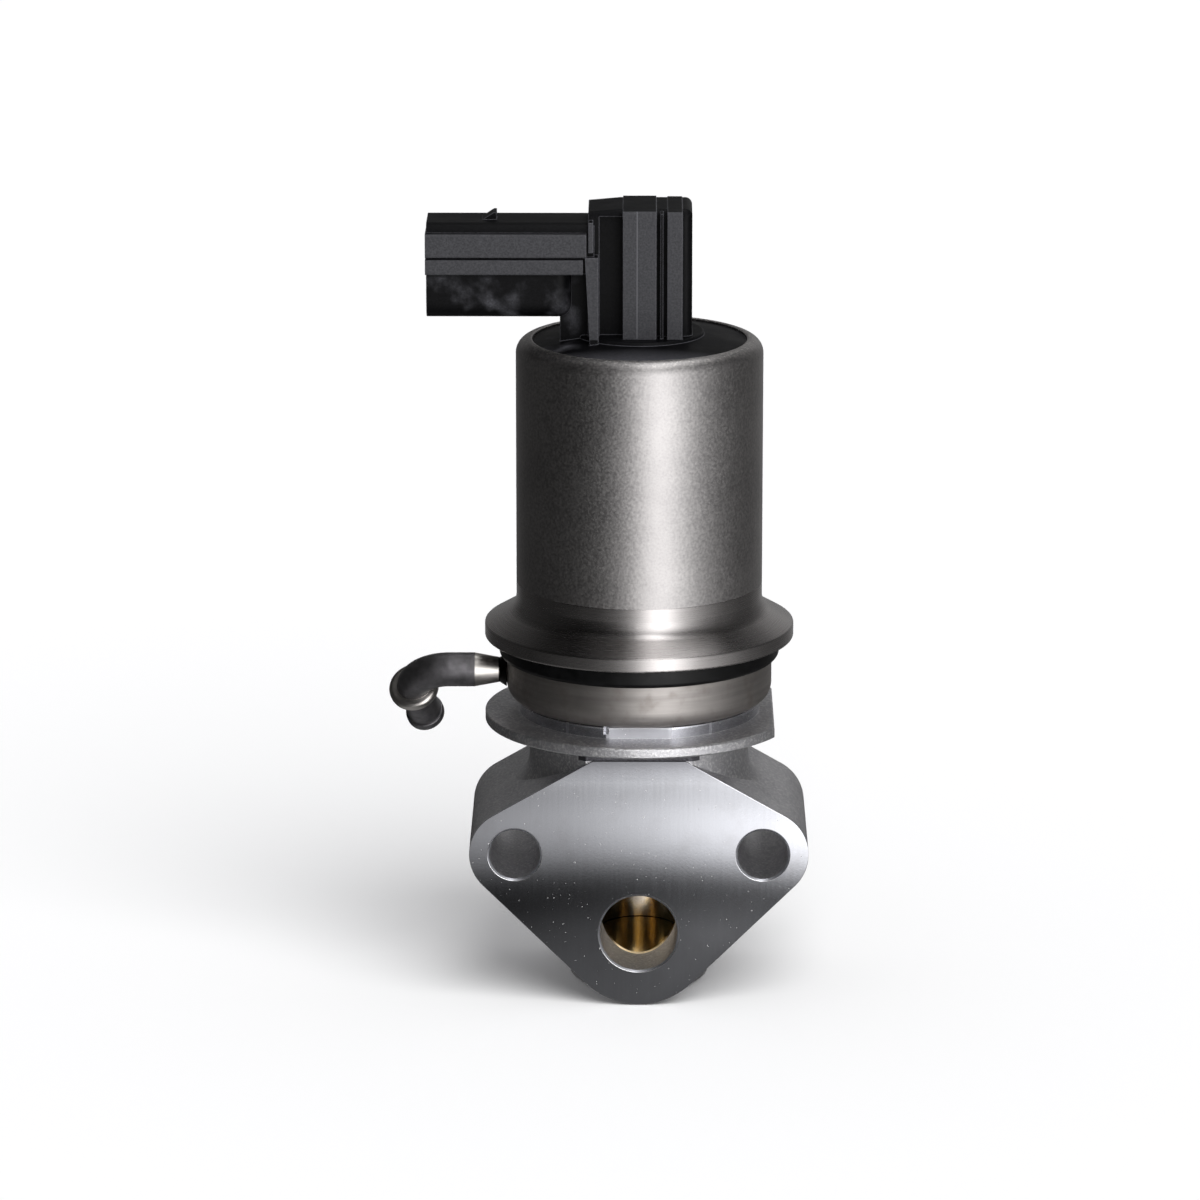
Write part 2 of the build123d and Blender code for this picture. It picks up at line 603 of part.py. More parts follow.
def mounting_collar():
    """Turned steel collar: rim, sloping shoulder, fillet up to the can and a spigot inside the can."""
    low, high = COLLAR_BOTTOM, COLLAR_TOP
    rim_top = low + COLLAR_RIM_T
    corner = rim_top + (COLLAR_R - CAN_R) * tan(radians(COLLAR_SLOPE))
    spigot_top = CAN_BOTTOM + COLLAR_SPIGOT_H
    spigot_bore = COLLAR_SPIGOT_R - COLLAR_SPIGOT_WALL
    shoulder = FilletPolyline((COLLAR_R, rim_top), (CAN_R, corner), (CAN_R, CAN_BOTTOM), radius=COLLAR_FILLET)
    rest = Polyline(
        (CAN_R, CAN_BOTTOM), (COLLAR_SPIGOT_R, CAN_BOTTOM), (COLLAR_SPIGOT_R, spigot_top),
        (spigot_bore, spigot_top), (spigot_bore, high), (COLLAR_HOLE_R, high), (COLLAR_HOLE_R, low),
        (COLLAR_R, low), (COLLAR_R, rim_top))
    collar = revolve(Plane.XZ * make_face([*shoulder.edges(), *rest.edges()]), Axis.Z)
    rim = collar.edges().filter_by(GeomType.CIRCLE).group_by(SortBy.RADIUS)[-1]
    return fillet(rim, COLLAR_RIM_ROUND)


def collar_bush():
    """Upper guide of the stem, half-way through the collar's floor."""
    low = (COLLAR_BOTTOM + COLLAR_TOP - BUSH_LENGTH) / 2
    bush = ring(BUSH_R - PRESS_GAP, STEM_R + STEM_GAP, low, low + BUSH_LENGTH)
    return chamfer(bush.faces().sort_by(Axis.Z)[-1].edges(), BUSH_BEVEL)


def solenoid_can():
    """Drawn can whose top is rolled inwards over the cover."""
    roll_z = CAN_TOP - CAN_ROLL
    roll_x = CAN_R - CAN_ROLL
    lip_x = COVER_STEP_R + SOFT_GAP
    profile = [
        Line((CAN_R, CAN_BOTTOM), (CAN_R, roll_z)),
        RadiusArc((CAN_R, roll_z), (roll_x, CAN_TOP), -CAN_ROLL),
        Line((roll_x, CAN_TOP), (lip_x, CAN_TOP - CAN_LIP_FALL)),
        Line((lip_x, CAN_TOP - CAN_LIP_FALL), (lip_x, STEP_Z)),
        Line((lip_x, STEP_Z), (roll_x, STEP_Z)),
        RadiusArc((roll_x, STEP_Z), (CAN_BORE, roll_z), CAN_ROLL - CAN_WALL),
        Line((CAN_BORE, roll_z), (CAN_BORE, CAN_BOTTOM)),
        Line((CAN_BORE, CAN_BOTTOM), (CAN_R, CAN_BOTTOM)),
    ]
    return revolve(Plane.XZ * make_face(profile), Axis.Z)


def lower_pole():
    """Steel plate on the collar round the armature sleeve."""
    return ring(COIL_SPACE_R, TUBE_OUTER + PRESS_GAP, COLLAR_TOP, LOWER_PLATE_TOP)


def armature_sleeve():
    """Thin tube from the collar up round the upper pole's plug."""
    return ring(TUBE_OUTER, TUBE_BORE, COLLAR_TOP, UPPER_PLATE_BOTTOM - SLEEVE_END_GAP)


def upper_pole():
    """Plate under the cover with a stepped plug down into the sleeve."""
    plate = disc(CAN_BORE - PRESS_GAP, UPPER_PLATE_BOTTOM, UPPER_PLATE_TOP)
    plug = disc(TUBE_BORE - PRESS_GAP, POLE_FACE, UPPER_PLATE_BOTTOM + 1)
    plug = chamfer(plug.faces().sort_by(Axis.Z)[0].edges(), POLE_BEVEL)
    pole = plate + plug
    pole -= disc(ARMATURE_WELL_R, POLE_FACE - 1, POLE_FACE + POLE_WELL)
    pole -= disc(POLE_BORE_R, POLE_FACE, UPPER_PLATE_TOP + 1)
    return pole


def bobbin_heights():
    """Underside and top of the spool, with room for the spring washer above it."""
    return LOWER_PLATE_TOP, UPPER_PLATE_BOTTOM - DISC_SPRING_T - DISC_SPRING_RISE


def coil_bobbin():
    """Moulded spool round the sleeve."""
    low, high = bobbin_heights()
    inner = TUBE_OUTER + PRESS_GAP
    spool = ring(inner + BOBBIN_WALL, inner, low, high)
    spool += ring(BOBBIN_R, inner, low, low + BOBBIN_FLANGE)
    spool += ring(BOBBIN_R, inner, high - BOBBIN_FLANGE, high)
    return spool


def coil_winding():
    """Wire pack between the spool's flanges, crowned a little."""
    low, high = bobbin_heights()
    low, high = low + BOBBIN_FLANGE, high - BOBBIN_FLANGE
    inner = TUBE_OUTER + BOBBIN_WALL + 2 * PRESS_GAP
    edge = WINDING_R - WINDING_CROWN
    crown = ThreePointArc((edge, low), (WINDING_R, (low + high) / 2), (edge, high))
    rest = Polyline((edge, high), (inner, high), (inner, low), (edge, low))
    return revolve(Plane.XZ * make_face([crown, *rest.edges()]), Axis.Z)


def disc_spring():
    """Coned spring washer between spool and upper pole."""
    low = bobbin_heights()[1]
    high = low + DISC_SPRING_RISE
    return turned([
        (DISC_SPRING_R, low), (DISC_SPRING_R, low + DISC_SPRING_T),
        (DISC_SPRING_R - DISC_SPRING_W, high + DISC_SPRING_T), (DISC_SPRING_R - DISC_SPRING_W, high),
    ])


def return_spring():
    """Spring from the armature's well to the upper pole's well."""
    return coil_spring(RETURN_SPRING_R, RETURN_WIRE_R, RETURN_TURNS, WELL_FLOOR, POLE_FACE + POLE_WELL)


def tower():
    """Sensor tower with its panels, fin, gusset and strip, standing on the cover's ring."""
    low = SENSOR_FLOOR
    rear = Plane(origin=(0, TOWER_BACK, 0), x_dir=(1, 0, 0), z_dir=(0, -1, 0))
    outline = Polyline(
        (-TOWER_LEFT, low), (TOWER_RIGHT, low), (TOWER_RIGHT, TOWER_TOP),
        (-TOWER_FALL_FROM, TOWER_TOP), (-TOWER_LEFT, TOWER_TOP - TOWER_FALL), close=True)
    shell = extrude(rear * make_face(outline), amount=TOWER_BACK + TOWER_FRONT)
    shell = fillet(shell.edges().filter_by(Axis.Z).sort_by(Axis.X)[-2:], TOWER_CORNER)
    roof_edges = shell.faces().sort_by(Axis.Z)[-1].edges().sort_by(Axis.X)
    shell = fillet(roof_edges[1:], TOWER_EDGE)
    main_panel = block(-PANEL_LEFT, PANEL_RIGHT, -PANEL_FRONT, PANEL_BACK, low, TOWER_TOP + PANEL_RISE)
    side_low, side_high = SIDE_PANEL_X - SIDE_PANEL_W / 2, SIDE_PANEL_X + SIDE_PANEL_W / 2
    side_panel = block(side_low, side_high, -PANEL_FRONT, PANEL_BACK, low, TOWER_TOP + SIDE_PANEL_RISE)
    for panel in (main_panel, side_panel):
        edge = panel.edges().filter_by(Axis.X).group_by(Axis.Z)[-1].sort_by(Axis.Y)[0]
        shell += fillet(edge, PANEL_ROUND)
    fin_low, fin_high = FIN_X - FIN_W / 2, FIN_X + FIN_W / 2
    shell += block(fin_low, fin_high, -PANEL_FRONT + FIN_SINK, 0, low, TOWER_TOP - FIN_SINK)
    recess_low, recess_high = -RECESS_X - RECESS_W / 2, -RECESS_X + RECESS_W / 2
    recess_floor = -TOWER_FRONT + RECESS_DEPTH
    shell -= block(recess_low, recess_high, -PANEL_FRONT, recess_floor, RING_Z, TOWER_TOP - RECESS_ROOF)
    strip_low = RING_Z + RIB_SPLIT + STRIP_FOOT
    strip = block(-STRIP_LEFT, -STRIP_LEFT + STRIP_W, -PANEL_FRONT, 0, strip_low, SOCKET_ROOF + STRIP_TOP)
    return shell + gusset_rib() + strip


def gusset_rib():
    """Upright rib at the tower's left front corner, narrower and deeper at its foot."""
    foot, top = RING_Z - GUSSET_SINK, RING_Z + GUSSET_H
    side = Plane(origin=(-GUSSET_TOP_LEFT, 0, 0), x_dir=(0, 1, 0), z_dir=(1, 0, 0))
    shape = Polyline((0, foot), (-GUSSET_FOOT, foot), (-GUSSET_FRONT, top), (0, top), close=True)
    rib = extrude(side * make_face(shape), amount=GUSSET_TOP_LEFT - GUSSET_RIGHT)
    front = Plane(origin=(0, 0, 0), x_dir=(1, 0, 0), z_dir=(0, -1, 0))
    shape = Polyline((-GUSSET_FOOT_LEFT, foot), (-GUSSET_RIGHT, foot), (-GUSSET_RIGHT, top),
                     (-GUSSET_TOP_LEFT, top), close=True)
    return rib & extrude(front * make_face(shape), amount=GUSSET_FOOT)


def socket_shell():
    """Plug socket: rounded box with stepped side ribs, joined to the tower by a web."""
    middle = Plane(origin=(-SOCKET_MOUTH, 0, 0), x_dir=(0, 1, 0), z_dir=(1, 0, 0))
    height = SOCKET_ROOF - SOCKET_FLOOR
    outline = middle * (Pos(0, SOCKET_MID) * RectangleRounded(2 * SOCKET_HALF, height, SOCKET_ROUND))
    shell = extrude(outline, amount=SOCKET_MOUTH - SOCKET_LOWER_END)
    ends = shell.faces().sort_by(Axis.X)[-1].edges().filter_by(Axis.Y).sort_by(Axis.Z)[0]
    shell = fillet(ends, SOCKET_ROUND * 0.8)
    split = RING_Z + RIB_SPLIT
    rib_foot, rib_top = RING_Z + RIB_BOTTOM, RING_Z + RIB_TOP
    ribs = [
        (UPPER_RIB_END, split + RIB_GROOVE / 2, rib_top),
        (LOWER_RIB_END, rib_foot, split - RIB_GROOVE / 2),
    ]
    for end, z0, z1 in ribs:
        rib = block(-SOCKET_MOUTH - RIB_LEAD, -end, -RIB_OUT, RIB_OUT, z0, z1)
        shell += fillet(rib.edges().filter_by(Axis.X), RIB_ROUND)
    joint = 1 - TOWER_LEFT
    upper = extrude(outline, amount=SOCKET_MOUTH + joint)
    upper &= block(-SOCKET_MOUTH, joint, -SOCKET_HALF, SOCKET_HALF, rib_foot, SOCKET_ROOF)
    web = block(-SOCKET_LOWER_END - 2, joint, -WEB_HALF, WEB_HALF, RING_Z - WEB_SINK, rib_foot + 1)
    return shell + upper + web


def latch_wedge():
    """Small ramp on the socket's roof that holds the plug."""
    side = Plane(origin=(0, LATCH_W / 2, 0), x_dir=(1, 0, 0), z_dir=(0, -1, 0))
    foot, crest = SOCKET_ROOF - LATCH_SINK, SOCKET_ROOF + LATCH_H
    shape = Polyline((-LATCH_X - LATCH_L, foot), (-LATCH_X, foot), (-LATCH_X, crest),
                     (-LATCH_X - LATCH_CREST, crest), close=True)
    return extrude(side * make_face(shape), amount=LATCH_W)


def socket_cavity():
    """Room for the plug inside the socket."""
    middle = Plane(origin=(-SOCKET_MOUTH - 1, 0, 0), x_dir=(0, 1, 0), z_dir=(1, 0, 0))
    height = SOCKET_ROOF - SOCKET_FLOOR - 2 * SOCKET_WALL
    outline = RectangleRounded(2 * (SOCKET_HALF - SOCKET_WALL), height, SOCKET_ROUND - SOCKET_WALL * 0.7)
    return extrude(middle * (Pos(0, SOCKET_MID) * outline), amount=SOCKET_DEPTH + 1)


def connector_cover():
    """Black moulding: round base under the can's rim, tower and socket, hollow for the sensor."""
    edge = CAN_BORE - PRESS_GAP
    base = turned([
        (0, COVER_BOTTOM), (edge, COVER_BOTTOM), (edge, CAN_TOP - CAN_ROLL - PRESS_GAP),
        (CAN_R - CAN_ROLL, STEP_Z), (COVER_STEP_R, STEP_Z), (COVER_STEP_R, STEP_Z + COVER_STEP_H),
        (COVER_RING_R, RING_Z - COVER_RING_WALL), (COVER_RING_R, RING_Z), (0, RING_Z),
    ])
    base = fillet(base.edges().group_by(Axis.Z)[-1], COVER_RING_ROUND)
    cover = base + tower() + socket_shell() + latch_wedge()
    cover -= socket_cavity()
    cover -= disc(UNDER_BAY_R, COVER_BOTTOM - 1, SENSOR_FLOOR)
    cover -= block(-SENSOR_BAY_X, SENSOR_BAY_X, -SENSOR_BAY_FRONT, SENSOR_BAY_BACK, COVER_BOTTOM, SENSOR_ROOF)
    cover -= ring(SEAL_R, SEAL_R - SEAL_W, COVER_BOTTOM - 1, COVER_BOTTOM + SEAL_T)
    for y, z in pin_places():
        cover -= pin_bar(y, z, PRESS_GAP)
    return cover


def cover_seal():
    """Rubber ring in the groove under the base."""
    outer, inner = SEAL_R - PRESS_GAP, SEAL_R - SEAL_W + PRESS_GAP
    return ring(outer, inner, COVER_BOTTOM, COVER_BOTTOM + SEAL_T - SOFT_GAP)


def pin_places():
    """Sideways and upward place of each pin: a row of three and a row of two."""
    places = []
    for row, count in enumerate(PIN_ROWS):
        y = (row - 0.5) * PIN_ROW_GAP
        for i in range(count):
            places.append((y, SOCKET_MID + (i - (count - 1) / 2) * PIN_PITCH))
    return places


def pin_bar(y, z, gap):
    """Square bar along a pin, grown by a gap."""
    half = PIN_W / 2 + gap
    tip = SOCKET_MOUTH - SOCKET_DEPTH + PIN_TIP
    return block(-tip, -PIN_INNER + 2 * gap, y - half, y + half, z - half, z + half)


def terminal_pins():
    """Five square pins with bevelled tips."""
    pins = []
    for y, z in pin_places():
        bar = pin_bar(y, z, 0)
        tip = bar.faces().sort_by(Axis.X)[0]
        pins.append(chamfer(tip.edges(), PIN_BEVEL))
    return Compound(children=pins)


def sensor_retainer():
    """Plate that closes the sensor bay and guides the plunger."""
    plate = disc(RETAINER_R, SENSOR_FLOOR - RETAINER_T, SENSOR_FLOOR)
    return plate - disc(PLUNGER_R + PLUNGER_GAP, COVER_BOTTOM, SENSOR_FLOOR + 1)


def arm_back():
    """Back face of the slider's arm, to which the wipers are fixed."""
    return SENSOR_BAY_BACK - TRACK_T - WIPER_GAP


def sensor_slider():
    """Plunger on the stem's top with a head that carries the wipers."""
    low, high = SENSOR_FLOOR, SENSOR_FLOOR + SLIDER_HEAD_H
    slider = disc(PLUNGER_R, STEM_TOP, low + 1)
    head = disc(SLIDER_HEAD_R, low, high)
    head -= disc(SENSOR_SPRING_R + SENSOR_WIRE_R + SOFT_GAP, high - SLIDER_WELL, high + 1)
    arm = block(-SLIDER_ARM, SLIDER_ARM, 0, arm_back(), low, low + SLIDER_ARM_T)
    slider += head + arm
    return slider - block(-SLIDER_HEAD_R, SLIDER_HEAD_R, arm_back(), SLIDER_HEAD_R + 1, low, high)


def sensor_wipers():
    """Three spring-bronze fingers fixed to the back of the slider's arm."""
    low = SENSOR_FLOOR + WIPER_RISE
    back = arm_back()
    skin = back + WIPER_T
    half = WIPER_W / 2
    fingers = block(-WIPER_PITCH - half, WIPER_PITCH + half, back, skin, low, low + WIPER_ROOT)
    tip = low + WIPER_L - 2 * WIPER_TIP
    for x in (-WIPER_PITCH, 0, WIPER_PITCH):
        fingers += block(x - half, x + half, back, skin, low, low + WIPER_L)
        fingers += block(x - half, x + half, back, back + WIPER_GAP - SOFT_GAP, tip, tip + WIPER_TIP)
    return fingers


def sensor_spring():
    """Light spring from the slider's head to the roof of the bay."""
    low = SENSOR_FLOOR + SLIDER_HEAD_H - SLIDER_WELL
    return coil_spring(SENSOR_SPRING_R, SENSOR_WIRE_R, SENSOR_TURNS, low, SENSOR_ROOF)


def sensor_track():
    """Ceramic board against the back wall of the bay, standing on the retainer."""
    half = TRACK_W / 2
    front = SENSOR_BAY_BACK - TRACK_T
    return block(-half, half, front, SENSOR_BAY_BACK, SENSOR_FLOOR, SENSOR_FLOOR + TRACK_H)


PIECES = (
    valve_housing, seat_sleeve, bore_plug, valve_seat, stem_guide, stem_shield, lower_cup, cup_screws,
    cup_gasket, vent_tube, mounting_collar, collar_bush, solenoid_can, lower_pole, armature_sleeve,
    upper_pole, coil_bobbin, coil_winding, disc_spring, connector_cover, cover_seal, terminal_pins,
    sensor_retainer, sensor_track, valve_head, valve_stem, armature, armature_clip, return_spring,
    sensor_slider, sensor_wipers, sensor_spring,
)

os.makedirs("parts", exist_ok=True)
for piece in PIECES:
    export_step(Pos(0, FACE_TO_AXIS, 0) * piece(), f"parts/{piece.__name__}.step")
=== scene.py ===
import json
import math
import bpy
import numpy as np
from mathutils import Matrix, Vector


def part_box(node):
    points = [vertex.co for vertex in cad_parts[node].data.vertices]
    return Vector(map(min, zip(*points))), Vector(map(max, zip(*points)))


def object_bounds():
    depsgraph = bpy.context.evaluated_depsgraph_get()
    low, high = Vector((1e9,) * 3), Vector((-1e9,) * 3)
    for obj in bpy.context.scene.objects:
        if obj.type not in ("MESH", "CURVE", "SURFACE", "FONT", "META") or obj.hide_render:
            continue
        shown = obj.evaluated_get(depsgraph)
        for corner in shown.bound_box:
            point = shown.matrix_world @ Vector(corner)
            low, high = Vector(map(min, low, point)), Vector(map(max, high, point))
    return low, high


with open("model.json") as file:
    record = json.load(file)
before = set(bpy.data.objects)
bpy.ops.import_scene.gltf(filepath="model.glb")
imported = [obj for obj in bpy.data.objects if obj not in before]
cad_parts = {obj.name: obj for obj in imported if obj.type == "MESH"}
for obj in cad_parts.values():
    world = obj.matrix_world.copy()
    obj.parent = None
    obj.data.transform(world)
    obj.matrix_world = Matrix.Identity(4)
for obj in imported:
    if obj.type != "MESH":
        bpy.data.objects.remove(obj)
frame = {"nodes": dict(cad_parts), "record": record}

# Electric EGR valve: cast housing, drawn cup, turned collar, solenoid can, black moulded cover with a plug
# socket. The frame is the solids' own: metres, mating face at y = 0, valve's axis at y = 0.0176, bolt holes
# at z = 0.
CAD_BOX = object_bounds()
MM = 0.001
AXIS_Y = 17.6 * MM
FLOOR_Z = CAD_BOX[0][2] - 0.2 * MM

# Places where the can's, the housing's and the tube's finish changes, and where shade is painted on the
# housing
CAN_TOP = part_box("solenoid_can")[1][2]
DUST_FOOT_Z = CAN_TOP - 1.3 * MM          # where the dust on the can's rolled rim starts
DUST_FULL_Z = CAN_TOP - 0.2 * MM          # and where it is thickest
CUT_FRONT_Y = 0.38 * MM                   # the housing is machined in front of this
CUT_TOP_Z = 17.24 * MM                    # top of the machined mating face
PAINTED_SHADE_FOOT_Z = CUT_TOP_Z - 4.0 * MM        # where the painted shade under the disc ends
CORNER_Z = CUT_TOP_Z + 0.75 * MM          # middle of the corner between the face and the disc, where shade is painted
CORNER_HALF = 0.85 * MM
CORNER_BACK_Y = 1.2 * MM
CHAMFER_Y = 0.22 * MM                     # middle of the chamfer round the mating face
CHAMFER_HALF = 0.18 * MM
SPIGOT_FOOT_Z = 22.34 * MM                # the spigot is machined above this
SPIGOT_FLAT_HALF = 5.8 * MM               # half the width of the spigot's raw front flat
NECK_X = -29.4 * MM                       # where the tube narrows towards the cup
NECK_FADE = 0.2 * MM
TUBE_BRAZE_X = -25.1 * MM                 # where the tube's scorched end starts
BRAZE_FADE = 0.08 * MM
NOZZLE_DIRECTION = (0.1795, 0.71994, -0.67043)
BEAD_ALONG = -7.33 * MM                   # the rolled bead's place along that direction
BEAD_HALF = 1.05 * MM

# Places where the bronze's and the moulded cover's finish changes, and where light is painted on the cover
SEAM_Z = -19.0 * MM                       # the bronze sleeve is cleaner below this
SEAM_HALF = 0.12 * MM
PANEL_Y = 9.7 * MM                        # just behind the cover's raised panels and ribs
PANEL_FOOT_Z = CAN_TOP + 1.5 * MM
MOULD_LINE_X = -0.46 * MM                 # moulding line down the main panel
MOULD_LINE_HALF = 0.09 * MM
LOWER_BOX_Z = CAD_BOX[1][2] - 11.3 * MM   # underside of the plug socket's ribs
LOWER_BOX_FADE = 0.8 * MM
SOCKET_DUST_X = -10.0 * MM                # where the dust on the plug socket starts
SOCKET_DUST_FULL_X = -12.0 * MM
FOOT_DUST_AND_LIGHT_Y = AXIS_Y - 12.0 * MM          # where the dust and painted light on the front of the tower's foot start
FOOT_DUST_AND_LIGHT_FULL_Y = AXIS_Y - 18.0 * MM

MIX_COLOURS = {"data_type": "RGBA"}       # settings that make a mix node blend colours
NOISE_RANGE = {"From_Min": 0.3, "From_Max": 0.7}    # inputs of a map range that takes in a whole noise
ACROSS_THE_LINES = 0.25                   # turns a highlight's stretch from along the tangent to across it
FLAT_COSINE = 0.995                       # a bevel's normal against the true one: on the flat
EDGE_COSINE = 0.93                        # and on a sharp edge


# Colours and materials

def linear(code):
    """sRGB hex code to linear red, green, blue and full alpha."""
    values = [int(code[i:i + 2], 16) / 255 for i in (1, 3, 5)]
    return [v / 12.92 if v <= 0.04045 else ((v + 0.055) / 1.055) ** 2.4 for v in values] + [1.0]


def grain(millimetres):
    """Texture scale whose lumps are about this wide."""
    return 1.0 / (millimetres * MM)


def add(material, kind, settings=None, **inputs):
    """Adds one node, sets its properties, and fills its live inputs by name, or by i and their number where
    several share a name, as a sum's do. An input given a node is linked to that node's first live output. A
    comparison's third input is how far apart its first two may be."""
    node = material.node_tree.nodes.new(kind)
    for key, value in (settings or {}).items():
        setattr(node, key, value)
    for key, value in inputs.items():
        if key[0] == "i" and key[1:].isdigit():
            socket = node.inputs[int(key[1:])]
        else:
            socket = next(s for s in node.inputs if s.enabled and s.name == key.replace("_", " "))
        if isinstance(value, bpy.types.Node):
            value = next(out for out in value.outputs if out.enabled)
        if isinstance(value, bpy.types.NodeSocket):
            material.node_tree.links.new(value, socket)
        else:
            socket.default_value = value
    return node


def start(name):
    """New material with nothing in it, and the object's own coordinates in metres."""
    material = bpy.data.materials.new(name)
    material.use_nodes = True
    material.node_tree.nodes.clear()
    return material, add(material, "ShaderNodeTexCoord").outputs["Object"]


def finished(material, shader):
    """Links the shader to a new output."""
    add(material, "ShaderNodeOutputMaterial", Surface=shader)
    return material


def from_the_axis(m, where):
    """Coordinates measured from the valve's own axis."""
    return add(m, "ShaderNodeVectorMath", {"operation": "SUBTRACT"}, i0=where, i1=(0.0, AXIS_Y, 0.0))


def round_the_axis(m, where):
    """Level direction that runs round the valve's axis: turned and drawn grain lies along it."""
    across = add(m, "ShaderNodeVectorMath", {"operation": "CROSS_PRODUCT"}, i0=from_the_axis(m, where),
                 i1=(0.0, 0.0, 1.0))
    return add(m, "ShaderNodeVectorMath", {"operation": "NORMALIZE"}, i0=across)


def turned_lines(m, where, pitch, detail, patches):
    """Lines round the axis, pitch millimetres apart up and out, that change slowly along their length: noise
    of the direction from the axis times patches, the radius over the pitch and the height over the pitch."""
    centred = from_the_axis(m, where)
    level = add(m, "ShaderNodeVectorMath", {"operation": "MULTIPLY"}, i0=centred, i1=(1.0, 1.0, 0.0))
    radius = add(m, "ShaderNodeVectorMath", {"operation": "LENGTH"}, i0=level)
    unit = add(m, "ShaderNodeVectorMath", {"operation": "NORMALIZE"}, i0=level)
    along = add(m, "ShaderNodeVectorMath", {"operation": "SCALE"}, i0=unit, Scale=patches)
    rings = add(m, "ShaderNodeMath", {"operation": "MULTIPLY"}, i0=radius, i1=grain(pitch))
    lifted = add(m, "ShaderNodeVectorMath", {"operation": "ADD"}, i0=along,
                 i1=add(m, "ShaderNodeCombineXYZ", Z=rings))
    height = add(m, "ShaderNodeMath", {"operation": "MULTIPLY"}, i1=grain(pitch),
                 i0=add(m, "ShaderNodeSeparateXYZ", Vector=where).outputs["Z"])
    return add(m, "ShaderNodeTexNoise", {"noise_dimensions": "4D"}, Vector=lifted, W=height, Scale=1.0,
               Detail=detail)


def worn_edges(m, radius):
    """Bent normal round the edges, and how far it leans from the flat: 1 on a sharp edge, 0 away from it."""
    bent = add(m, "ShaderNodeBevel", {"samples": 6}, Radius=radius * MM)
    level = add(m, "ShaderNodeVectorMath", {"operation": "DOT_PRODUCT"}, i0=bent,
                i1=add(m, "ShaderNodeNewGeometry").outputs["True Normal"])
    return bent, add(m, "ShaderNodeMapRange", Value=level, From_Min=FLAT_COSINE, From_Max=EDGE_COSINE)


# Deep-drawn steel can, tumbled and bare: a wide soft highlight, a fine sparkle and dust on the rolled rim
def satin_can_steel():
    m, where = start("satin drawn steel")
    cloud = add(m, "ShaderNodeTexNoise", Vector=where, Scale=grain(9.0), Detail=4.0)
    sparkle = add(m, "ShaderNodeTexNoise", Vector=where, Scale=grain(0.45), Detail=3.0)
    specks = add(m, "ShaderNodeTexNoise", Vector=where, Scale=grain(0.5), Detail=4.0)
    both = add(m, "ShaderNodeMath", {"operation": "MULTIPLY_ADD"}, i0=cloud, i1=0.4, i2=sparkle)
    tone = add(m, "ShaderNodeMapRange", Value=both, From_Min=0.5, From_Max=0.95)
    steel = add(m, "ShaderNodeMix", MIX_COLOURS, Factor=tone, A=linear("#9f9c9c"), B=linear("#c3c0bf"))
    rim = add(m, "ShaderNodeMapRange", From_Min=DUST_FOOT_Z, From_Max=DUST_FULL_Z, To_Max=0.7,
              Value=add(m, "ShaderNodeSeparateXYZ", Vector=where).outputs["Z"])
    dots = add(m, "ShaderNodeMapRange", Value=specks, From_Min=0.52, From_Max=0.64)
    dust = add(m, "ShaderNodeMath", {"operation": "MULTIPLY"}, i0=rim, i1=dots)
    colour = add(m, "ShaderNodeMix", MIX_COLOURS, Factor=dust, A=steel, B=linear("#e2dfdb"))
    glints = add(m, "ShaderNodeMapRange", Value=sparkle, From_Min=0.35, From_Max=0.65, To_Min=0.37,
                 To_Max=0.47)
    normal = add(m, "ShaderNodeBump", Height=sparkle, Distance=0.02 * MM, Strength=0.7)
    shader = add(m, "ShaderNodeBsdfPrincipled", Base_Color=colour, Metallic=1.0, Roughness=glints,
                 Anisotropic=0.2, Anisotropic_Rotation=ACROSS_THE_LINES, Tangent=round_the_axis(m, where),
                 Normal=normal)
    return finished(m, shader)


# Lathe-turned steel collar: fine rings that draw each highlight out across them, browned a little in patches
def turned_steel():
    m, where = start("turned steel")
    lines = turned_lines(m, where, 0.22, 3.0, 3.0)
    cloud = add(m, "ShaderNodeTexNoise", Vector=where, Scale=grain(6.0), Detail=3.0)
    tone = add(m, "ShaderNodeMapRange", Value=lines, **NOISE_RANGE)
    steel = add(m, "ShaderNodeMix", MIX_COLOURS, Factor=tone, A=linear("#aeaaa9"), B=linear("#b7b3b2"))
    stain = add(m, "ShaderNodeMapRange", Value=cloud, From_Min=0.55, From_Max=0.8, To_Max=0.25)
    colour = add(m, "ShaderNodeMix", MIX_COLOURS, Factor=stain, A=steel, B=linear("#7f7974"))
    rough = add(m, "ShaderNodeMapRange", Value=lines, **NOISE_RANGE, To_Min=0.26, To_Max=0.29)
    normal = add(m, "ShaderNodeBump", Height=lines, Distance=0.006 * MM, Strength=0.28,
                 Normal=add(m, "ShaderNodeBevel", {"samples": 4}, Radius=0.3 * MM))
    shader = add(m, "ShaderNodeBsdfPrincipled", Base_Color=colour, Metallic=1.0, Roughness=rough,
                 Anisotropic=0.7, Anisotropic_Rotation=ACROSS_THE_LINES, Tangent=round_the_axis(m, where),
                 Normal=normal)
    return finished(m, shader)


